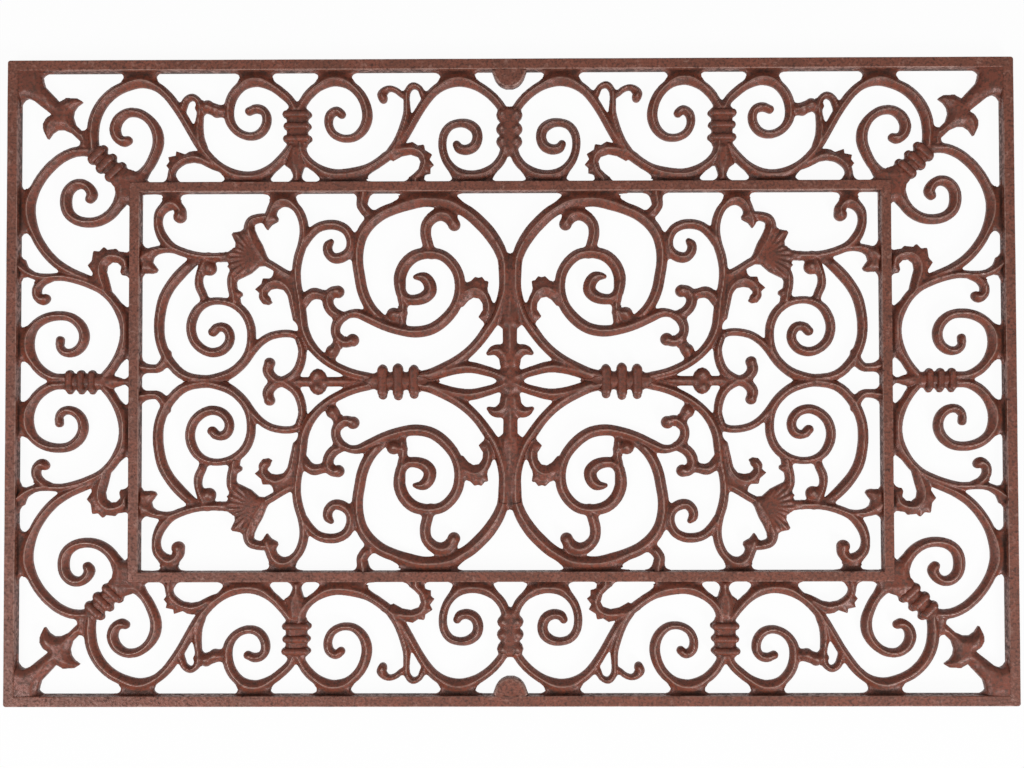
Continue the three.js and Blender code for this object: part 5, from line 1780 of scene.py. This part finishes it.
place_in_quarters(panel_heart, "panel_heart")

# Panel, ring: the ring with its foot and the volute inside it, a leaf, a branch that ends in a
# ball, and the tendrils that tie it to the outer bar. Cast iron.
ring_shares = [
    [31.2, 7.9, 0.75], [32.6, 7.6, 0.75], [34.1, 8.4, 0.8], [34.7, 10.2, 0.85], [34.1, 12, 0.9],
    [32.4, 13.2, 0.72], [30.4, 13.5, 0.85], [28, 12.6], [25, 11.2], [21.8, 10.2], [18.6, 9.8, 1.05],
    [15.6, 10.4, 1.05], [13, 12.2, 1.05], [10.9, 14.9], [10, 18], [10.3, 21.2], [11.6, 23.5],
    [13.6, 25.1], [16.3, 25.5, 1], [19, 24.9, 1.1], [20.9, 23.2, 1.12], [21.9, 20.8, 1.12],
    [21.9, 18.8, 1.05],
]
ring_neck_shares = [[21.9, 19.4], [21.5, 16.6, 0.85], [21.2, 14.4, 0.75], [21.6, 10.8, 0.8]]
ring_volute_shares = [
    [22, 19.2], [21.5, 17.3], [20.3, 16.3, 0.95], [18.6, 16.2, 1], [16.9, 16.8, 1.12],
    [15.9, 18, 1.18], [16.1, 19.5, 1.15], [16.9, 20.5, 1.05], [17.9, 20.8, 0.72],
    [18.9, 20.7, 0.35],
]
ball_branch_shares = [
    [15.7, 25.2], [16.4, 27.4], [16.8, 29.4], [16.5, 31.3], [15.1, 32.8, 1.1], [13.6, 33.3, 1.25],
    [12.2, 32.9, 1.35], [11.4, 31.8, 1.15],
]
ring_leaf_shares = [
    [9.8, 20.6], [8.6, 19.7], [7.8, 20], [7, 20.8], [6.3, 20.6], [5.6, 20.8], [5, 20], [4.3, 19.9],
    [4.5, 18.4], [4.2, 17], [3.6, 16], [3, 14.8], [3.4, 13.2], [4.4, 11.6], [5.7, 12.2],
    [6.3, 12.8], [5.4, 14.2], [5.5, 15.5], [6.2, 16.5], [7.3, 16.7], [8.3, 16.1], [9.3, 14.9],
    [10.6, 14.6], [10.6, 18],
]
upper_tendril_shares = [
    [33, 12.8, 0.9], [35, 13.7], [36.1, 15.2], [36.1, 16.9], [35.2, 17.8], [34.2, 17.8],
]
tendril_arch_shares = [
    [36, 17, 0.9], [37.6, 17.3, 0.95], [39, 17.5, 1.05], [40.3, 16.8], [41.4, 15.2],
]
lower_nub_shares = [[34.1, 8.6, 0.7], [34.8, 6.3, 0.95], [35.8, 4.6, 0.85]]
neck_bud_shares = [[21.3, 13.6, 0.9], [23.1, 13.2, 1]]
ring_root_wide = 0.95 * panel_bar_wide
ring_root_shares = [[31.4, 8], [32.8, 7.8], [34, 8.6]]
nub_ball_share, nub_ball_wide = [35.3, 6.1], 1.12 * panel_bar_wide
branch_ball_share, branch_ball_wide = [11.1, 31.2], 1.16 * panel_bar_wide
root_ball_share, root_ball_wide = [31.2, 8.2], 1.18 * panel_bar_wide
tendril_ball_share, tendril_ball_wide = [34.2, 17.8], 1.15 * panel_bar_wide
bud_ball_share, bud_ball_wide = [23.1, 13.2], 1.3 * panel_bar_wide
ring_leaf_rib_shares = [
    [4.9, 12.2, 0.6], [4.3, 14, 0.65], [4.4, 16, 0.7], [5.4, 17.7, 0.75], [7, 18.4, 0.8],
    [8.5, 17.9, 0.82], [9.7, 17.1, 0.8],
]
panel_ring = casting(
    "panel_ring",
    scroll_finish,
    [
        Bar(ring_shares, panel_bar_wide),
        Bar(ring_neck_shares, panel_bar_wide, let_in="both"),
        Volute(ring_volute_shares, panel_bar_wide),
        Bar(ball_branch_shares, panel_bar_wide, let_in="start"),
        Bar(upper_tendril_shares, panel_bar_wide, let_in="start"),
        Bar(tendril_arch_shares, panel_bar_wide, let_in="both"),
        Bar(lower_nub_shares, panel_bar_wide, let_in="both"),
        Knob(nub_ball_share, nub_ball_wide),
        Bar(neck_bud_shares, panel_bar_wide),
        Leaf(ring_leaf_shares, leaf_spike_tall, leaf_swell_share),
        Bar(ring_leaf_rib_shares, panel_bar_wide, let_in="both"),
        Knob(branch_ball_share, branch_ball_wide),
        Knob(root_ball_share, root_ball_wide),
        Bar(ring_root_shares, ring_root_wide),
        Knob(tendril_ball_share, tendril_ball_wide),
        Knob(bud_ball_share, bud_ball_wide),
    ],
)
place_in_quarters(panel_ring, "panel_ring")

# Panel, outer bar: a bar from the panel's collar up to the inner rail, with a small volute, a
# leafy curl, the branch to the palmette, and the tie that ends it. Cast iron.
outer_bar_shares = [
    [28, 0.85, 0.85], [30.5, 1.4, 0.85], [33, 2.3, 0.85], [35.8, 3.8, 0.85], [38.2, 5.7, 0.85],
    [40, 8, 0.9], [41.1, 10.6, 0.95], [41.5, 13.4, 0.95], [41.8, 16.2, 0.85], [42.3, 19, 0.75],
    [42.5, 21.8, 0.78], [42.1, 24.6, 0.82], [41.3, 27.2, 0.82], [40.9, 29.8, 0.82],
    [41.2, 32.2, 0.82], [42.2, 34.3, 0.82], [43.7, 35.5, 0.8], [45.5, 35.7, 0.85],
    [46.9, 34.9, 0.98], [47.5, 33.6, 0.98], [48.1, 32, 0.8],
]
small_volute_shares = [
    [41.5, 26.6, 0.8], [40, 28.9, 0.85], [38.3, 30.5, 0.85], [36.4, 31.1, 0.88],
    [34.3, 31, 0.9], [32.5, 30, 0.9], [31.6, 28, 0.85], [31.9, 26, 0.85], [33.3, 24.7, 0.95],
    [35, 24.5, 0.95], [36.1, 25.6, 0.9], [36.2, 26.9, 0.8], [35.5, 27.8, 0.4],
]
leafy_curl_shares = [
    [42, 10.5], [42.3, 16.5], [42.7, 21.9], [44.3, 21.7], [46.8, 22.7], [47.2, 21.1],
    [47.7, 20.5], [49.2, 20.5], [49.5, 19.4], [50.8, 18.3], [49.9, 17.6], [49.9, 16.3],
    [49.2, 15.4], [48.1, 15.2], [47.3, 15.7], [48.3, 16.9], [48.3, 17.6], [47.6, 18.3],
    [46.5, 18.5], [45.1, 18.2], [44.2, 17], [43.6, 15.4], [42.8, 12.2],
]
palmette_branch_shares = [
    [43, 20.6, 0.75], [45.4, 21.9, 0.75], [47.5, 23.2, 0.75], [49.4, 24.2, 0.75],
]
heart_barb_shares = [
    [46.6, 33.6], [46, 32.5], [46.1, 31.9], [47.4, 31.2], [48.2, 30.1], [48.6, 30.6], [49.1, 31.5],
    [49.2, 32.4], [49, 33.4], [47.8, 34],
]
outer_bar_web_shares = [
    [42.1, 37.9], [42.6, 36.3], [43.3, 35.2], [47, 35.2], [47.9, 36.3], [48.3, 37.9],
]
volute_web_shares = [[29.8, 29.3], [31, 29.3], [32.3, 28.7], [32.3, 25.2], [31.1, 24], [29.8, 24]]
leafy_curl_rib_shares = [
    [42.6, 12.5, 0.6], [43.1, 15.2, 0.7], [43.7, 17.7, 0.75], [45, 19.4, 0.8], [46.7, 19.9, 0.8],
    [48.2, 19.3, 0.75], [49.1, 18.1, 0.7], [49.1, 16.9, 0.7], [48.3, 16, 0.75],
]
panel_outer = casting(
    "panel_outer",
    scroll_finish,
    [
        Bar(outer_bar_shares, panel_bar_wide),
        Volute(small_volute_shares, panel_bar_wide, let_in="start"),
        Bar(palmette_branch_shares, panel_bar_wide, let_in="start"),
        Leaf(leafy_curl_shares, leaf_spike_tall, leaf_swell_share),
        Volute(leafy_curl_rib_shares, panel_bar_wide),
        Leaf(heart_barb_shares),
        Web(outer_bar_web_shares),
        Web(volute_web_shares),
    ],
)
place_in_quarters(panel_outer, "panel_outer_scroll")

# Panel, palmette: a fluted fan with its stem and lower curl, its branch and hook on the inner
# rail, and the ball tie to the side ring. Cast iron, with a painted highlight along the flutes'
# ridges.
fan_reach = 0.0032
fan_root_share = [50.4, 24.8]
fan_flutes = 13
fan_flute_deep = 0.0009
fan_flute_start = 0.003
fan_shares = [
    [50.8, 30.4], [52.8, 30.1], [54.9, 29.7], [55.4, 29.3], [54.6, 27.6], [54.7, 26.7],
    [56.1, 25.8], [57.6, 25.6], [57.6, 23.8], [56.1, 23.8], [56, 23.2], [56.3, 22.8], [55.5, 22],
    [55.6, 21], [54.2, 20.2], [53.1, 20.7], [51.5, 21.5], [49.9, 22.9], [48.6, 23], [48.2, 24.6],
    [49.2, 27.2], [50.1, 28.8],
]
fan_stem_shares = [
    [48.4, 32.8, 0.75], [50.2, 32.5, 0.85], [51.4, 32, 0.9], [51.9, 30.9, 0.95], [51.8, 29.2],
]
lower_curl_shares = [
    [54.9, 22, 0.85], [55.4, 20.2, 0.88], [55.3, 18.6, 0.88], [55, 17.2, 0.88], [54.7, 15.4, 0.85],
]
lower_barb_shares = [[54.4, 18.4], [53.3, 17.6], [53.3, 17], [54.3, 16.4], [55, 17.4]]
fan_branch_shares = [
    [56.4, 24.8, 0.85], [59, 24.7, 0.82], [62, 24.9, 0.8], [65, 25.7, 0.8], [67.4, 26.8, 0.85],
    [69, 28.4, 0.95], [69.9, 30.2, 0.85], [70.2, 32, 0.8], [69.8, 33.8, 0.9], [68.5, 35, 0.95],
    [66.9, 35.2, 0.9], [65.7, 34.2, 0.95], [65.6, 33],
]
rail_branch_shares = [
    [66, 26, 0.6], [68.5, 26.4, 0.65], [70.6, 26.1, 0.8], [72.2, 25.2], [73.9, 24.4, 1.1],
]
rail_hook_shares = [
    [70.8, 25.3], [71.2, 23.8], [70.1, 22.3], [70.5, 21.7], [71.4, 21.5], [72.6, 21.7],
    [73.8, 21.2], [73.8, 26.6], [71.9, 26.6],
]
ball_tie_to_ring_shares = [
    [60, 25, 0.8], [61.2, 22.9, 0.75], [62, 20.4, 0.72], [61.9, 18.8, 0.78],
    [61.3, 17.4, 0.75], [60.7, 15.8, 0.75],
]
tendril_web_shares = [
    [65, 37.9], [65.7, 36.4], [66.3, 35.3], [68.9, 35.3], [69.3, 36.5], [70.1, 37.9],
]
fan_edge_shares = [
    [51.9, 30, 0.9], [51.5, 28.8, 0.85], [50.8, 27.2, 0.75], [49.8, 25.6, 0.75],
    [48.8, 24.2, 0.75],
]
hook_ball_share, hook_ball_wide = [65.8, 32.9], 1.2 * panel_bar_wide
tie_ball_share, tie_ball_wide = [59.9, 22.5], 1.35 * panel_bar_wide
fan_flute_sizes = (fan_root_share, fan_flutes, fan_flute_deep, fan_flute_start)
palmette = casting(
    "palmette",
    scroll_finish,
    [
        Leaf(fan_shares, leaf_tall, swell=0.3, reach=fan_reach, flutes=fan_flute_sizes),
        Bar(fan_stem_shares, panel_bar_wide),
        Bar(fan_edge_shares, panel_bar_wide),
        Volute(lower_curl_shares, panel_bar_wide, let_in="start"),
        Bar(fan_branch_shares, panel_bar_wide),
        Bar(rail_branch_shares, panel_bar_wide, let_in="start"),
        Bar(ball_tie_to_ring_shares, panel_bar_wide, let_in="both"),
        Leaf(lower_barb_shares),
        Leaf(rail_hook_shares),
        Knob(hook_ball_share, hook_ball_wide),
        Knob(tie_ball_share, tie_ball_wide),
        Web(tendril_web_shares),
    ],
)
place_in_quarters(palmette, "palmette")

# Panel, side ring: one long spiral from the palmette's branch down to the middle line and on
# round into its own volute, with an arch to the outer bar and a bar to the inner rail.
sweep_shares = [
    [62.9, 24, 0.9], [64.4, 22.7, 0.95], [66, 21.1], [67.7, 19, 0.95], [69, 16.6, 0.95],
    [69.7, 13.8, 0.92], [69.95, 11, 0.9], [69.7, 8.3, 0.88], [68.7, 5.5, 0.88], [67, 3, 0.88],
    [65.2, 1.4, 0.88], [63, 0.6, 0.85], [60.4, 0.35, 0.85],
]
spiral_shares = [
    [63, 0.6, 0.85], [60.4, 0.35, 0.85], [57.6, 0.9, 0.85], [55, 2.1, 0.82], [53.1, 3.9, 0.8],
    [51.9, 6.1, 0.78], [51.5, 8.6, 0.78], [51.7, 11, 0.8], [52.8, 13.4, 0.82], [54.7, 15.1, 0.8],
    [57.2, 15.9, 0.68], [59.8, 15.8, 0.68], [61.9, 14.7, 0.78], [63.2, 12.7, 0.85],
    [63.6, 10.4, 0.85], [62.9, 8, 0.85], [61.3, 6.4, 0.85], [59.3, 5.7, 0.87], [57.3, 6.2, 0.87],
    [56, 7.7, 0.85], [55.9, 9.4, 0.85], [56.8, 10.6, 0.88], [58.2, 10.7, 0.8], [59.2, 9.8, 0.45],
]
ring_arch_shares = [
    [41.6, 8.8, 0.7], [43.4, 9.5, 0.7], [45.8, 9.5, 0.7], [48, 8.9, 0.7], [49.9, 7.6, 0.7],
    [51.4, 5.9, 0.72], [53, 3.7, 0.75], [55, 1.9, 0.8], [57.2, 0.6, 0.85],
]
rail_bar_shares = [
    [68.2, 5.6, 0.8], [68.9, 3.8, 0.85], [70, 2.7, 0.8], [71.4, 2.6, 0.8], [73.9, 3, 0.95],
]
side_ring = casting(
    "side_ring",
    scroll_finish,
    [
        Bar(sweep_shares, panel_bar_wide, let_in="start"),
        Volute(spiral_shares, panel_bar_wide),
        Bar(ring_arch_shares, panel_bar_wide, let_in="both"),
        Bar(rail_bar_shares, panel_bar_wide, let_in="start"),
    ],
)
place_in_quarters(side_ring, "side_ring")

# Floor: a wide sheet of white paper under the mat, matt, which shows as white and keeps the
# mat's soft shadow.
floor_half = 3.0
floor_white = (0.86, 0.86, 0.86, 1)
floor_roughness = 0.9
white_seen_share = 0.95
floor_paint = bpy.data.materials.new("white_sheet")
floor_paint.use_nodes = True
sheet_tree = floor_paint.node_tree
sheet_shader = sheet_tree.nodes["Principled BSDF"]
sheet_shader.inputs["Base Color"].default_value = floor_white
sheet_shader.inputs["Roughness"].default_value = floor_roughness
seen = node(sheet_tree, "ShaderNodeLightPath")
seen_at_all = seen.outputs["Is Camera Ray"]
for ray in ("Is Glossy Ray", "Is Transmission Ray"):
    seen_at_all = math_node(sheet_tree, "MAXIMUM", seen_at_all, seen.outputs[ray])
seen_share = math_node(sheet_tree, "MULTIPLY", seen_at_all, white_seen_share)
white = node(sheet_tree, "ShaderNodeEmission")
white.inputs["Strength"].default_value = 1
blend = node(sheet_tree, "ShaderNodeMixShader")
sheet_tree.links.new(seen_share, blend.inputs["Fac"])
sheet_tree.links.new(sheet_shader.outputs["BSDF"], blend.inputs[1])
sheet_tree.links.new(white.outputs["Emission"], blend.inputs[2])
sheet_tree.links.new(blend.outputs["Shader"], sheet_tree.nodes["Material Output"].inputs["Surface"])
corners = [(x * floor_half, y * floor_half, 0) for x, y in ((-1, -1), (1, -1), (1, 1), (-1, 1))]
floor = mesh_object("floor_sheet", corners, [(0, 1, 2, 3)], floor_paint)

# Light: a pale studio all round, a soft key lamp to the front and right of the mat, and a
# weaker one to the front and left, whose sheen lies over the near left corner.
studio_strength = 0.36
lamp_size = (0.5, 0.5)
world = bpy.data.worlds.new("studio")
bpy.context.scene.world = world
world.use_nodes = True
world.node_tree.nodes["Background"].inputs["Color"].default_value = (1, 1, 1, 1)
world.node_tree.nodes["Background"].inputs["Strength"].default_value = studio_strength


def soft_lamp(name, place, power):
    """A square soft box that shines on the middle of the mat."""
    lamp = bpy.data.lights.new(name, "AREA")
    lamp.shape = "RECTANGLE"
    lamp.size, lamp.size_y = lamp_size
    lamp.energy = power
    made = bpy.data.objects.new(name, lamp)
    made.location = place
    bpy.context.scene.collection.objects.link(made)
    made.rotation_mode = "QUATERNION"
    made.rotation_quaternion = (-made.location).to_track_quat("-Z", "Y")


soft_lamp("key_lamp", place=(1.1, -1.3, 1.0), power=22)
soft_lamp("sheen_lamp", place=(-0.95, -0.7, 1.15), power=10)

# Camera: straight above the mat, a little to the front and tilted back on to it, as the
# photograph was taken.
camera_right, camera_back, camera_over_mat = 0.01004, -0.03528, 1.100
camera_tilt = (0.02981, 0.00783, -0.00219)
camera_data = bpy.data.cameras.new("camera")
camera_data.sensor_width = 36
camera_data.lens = 54.07
camera = bpy.data.objects.new("camera", camera_data)
camera.location = (camera_right, camera_back, camera_over_mat + rail_tall)
camera.rotation_euler = camera_tilt
bpy.context.scene.collection.objects.link(camera)
bpy.context.scene.camera = camera
bpy.context.scene.view_settings.view_transform = "Standard"
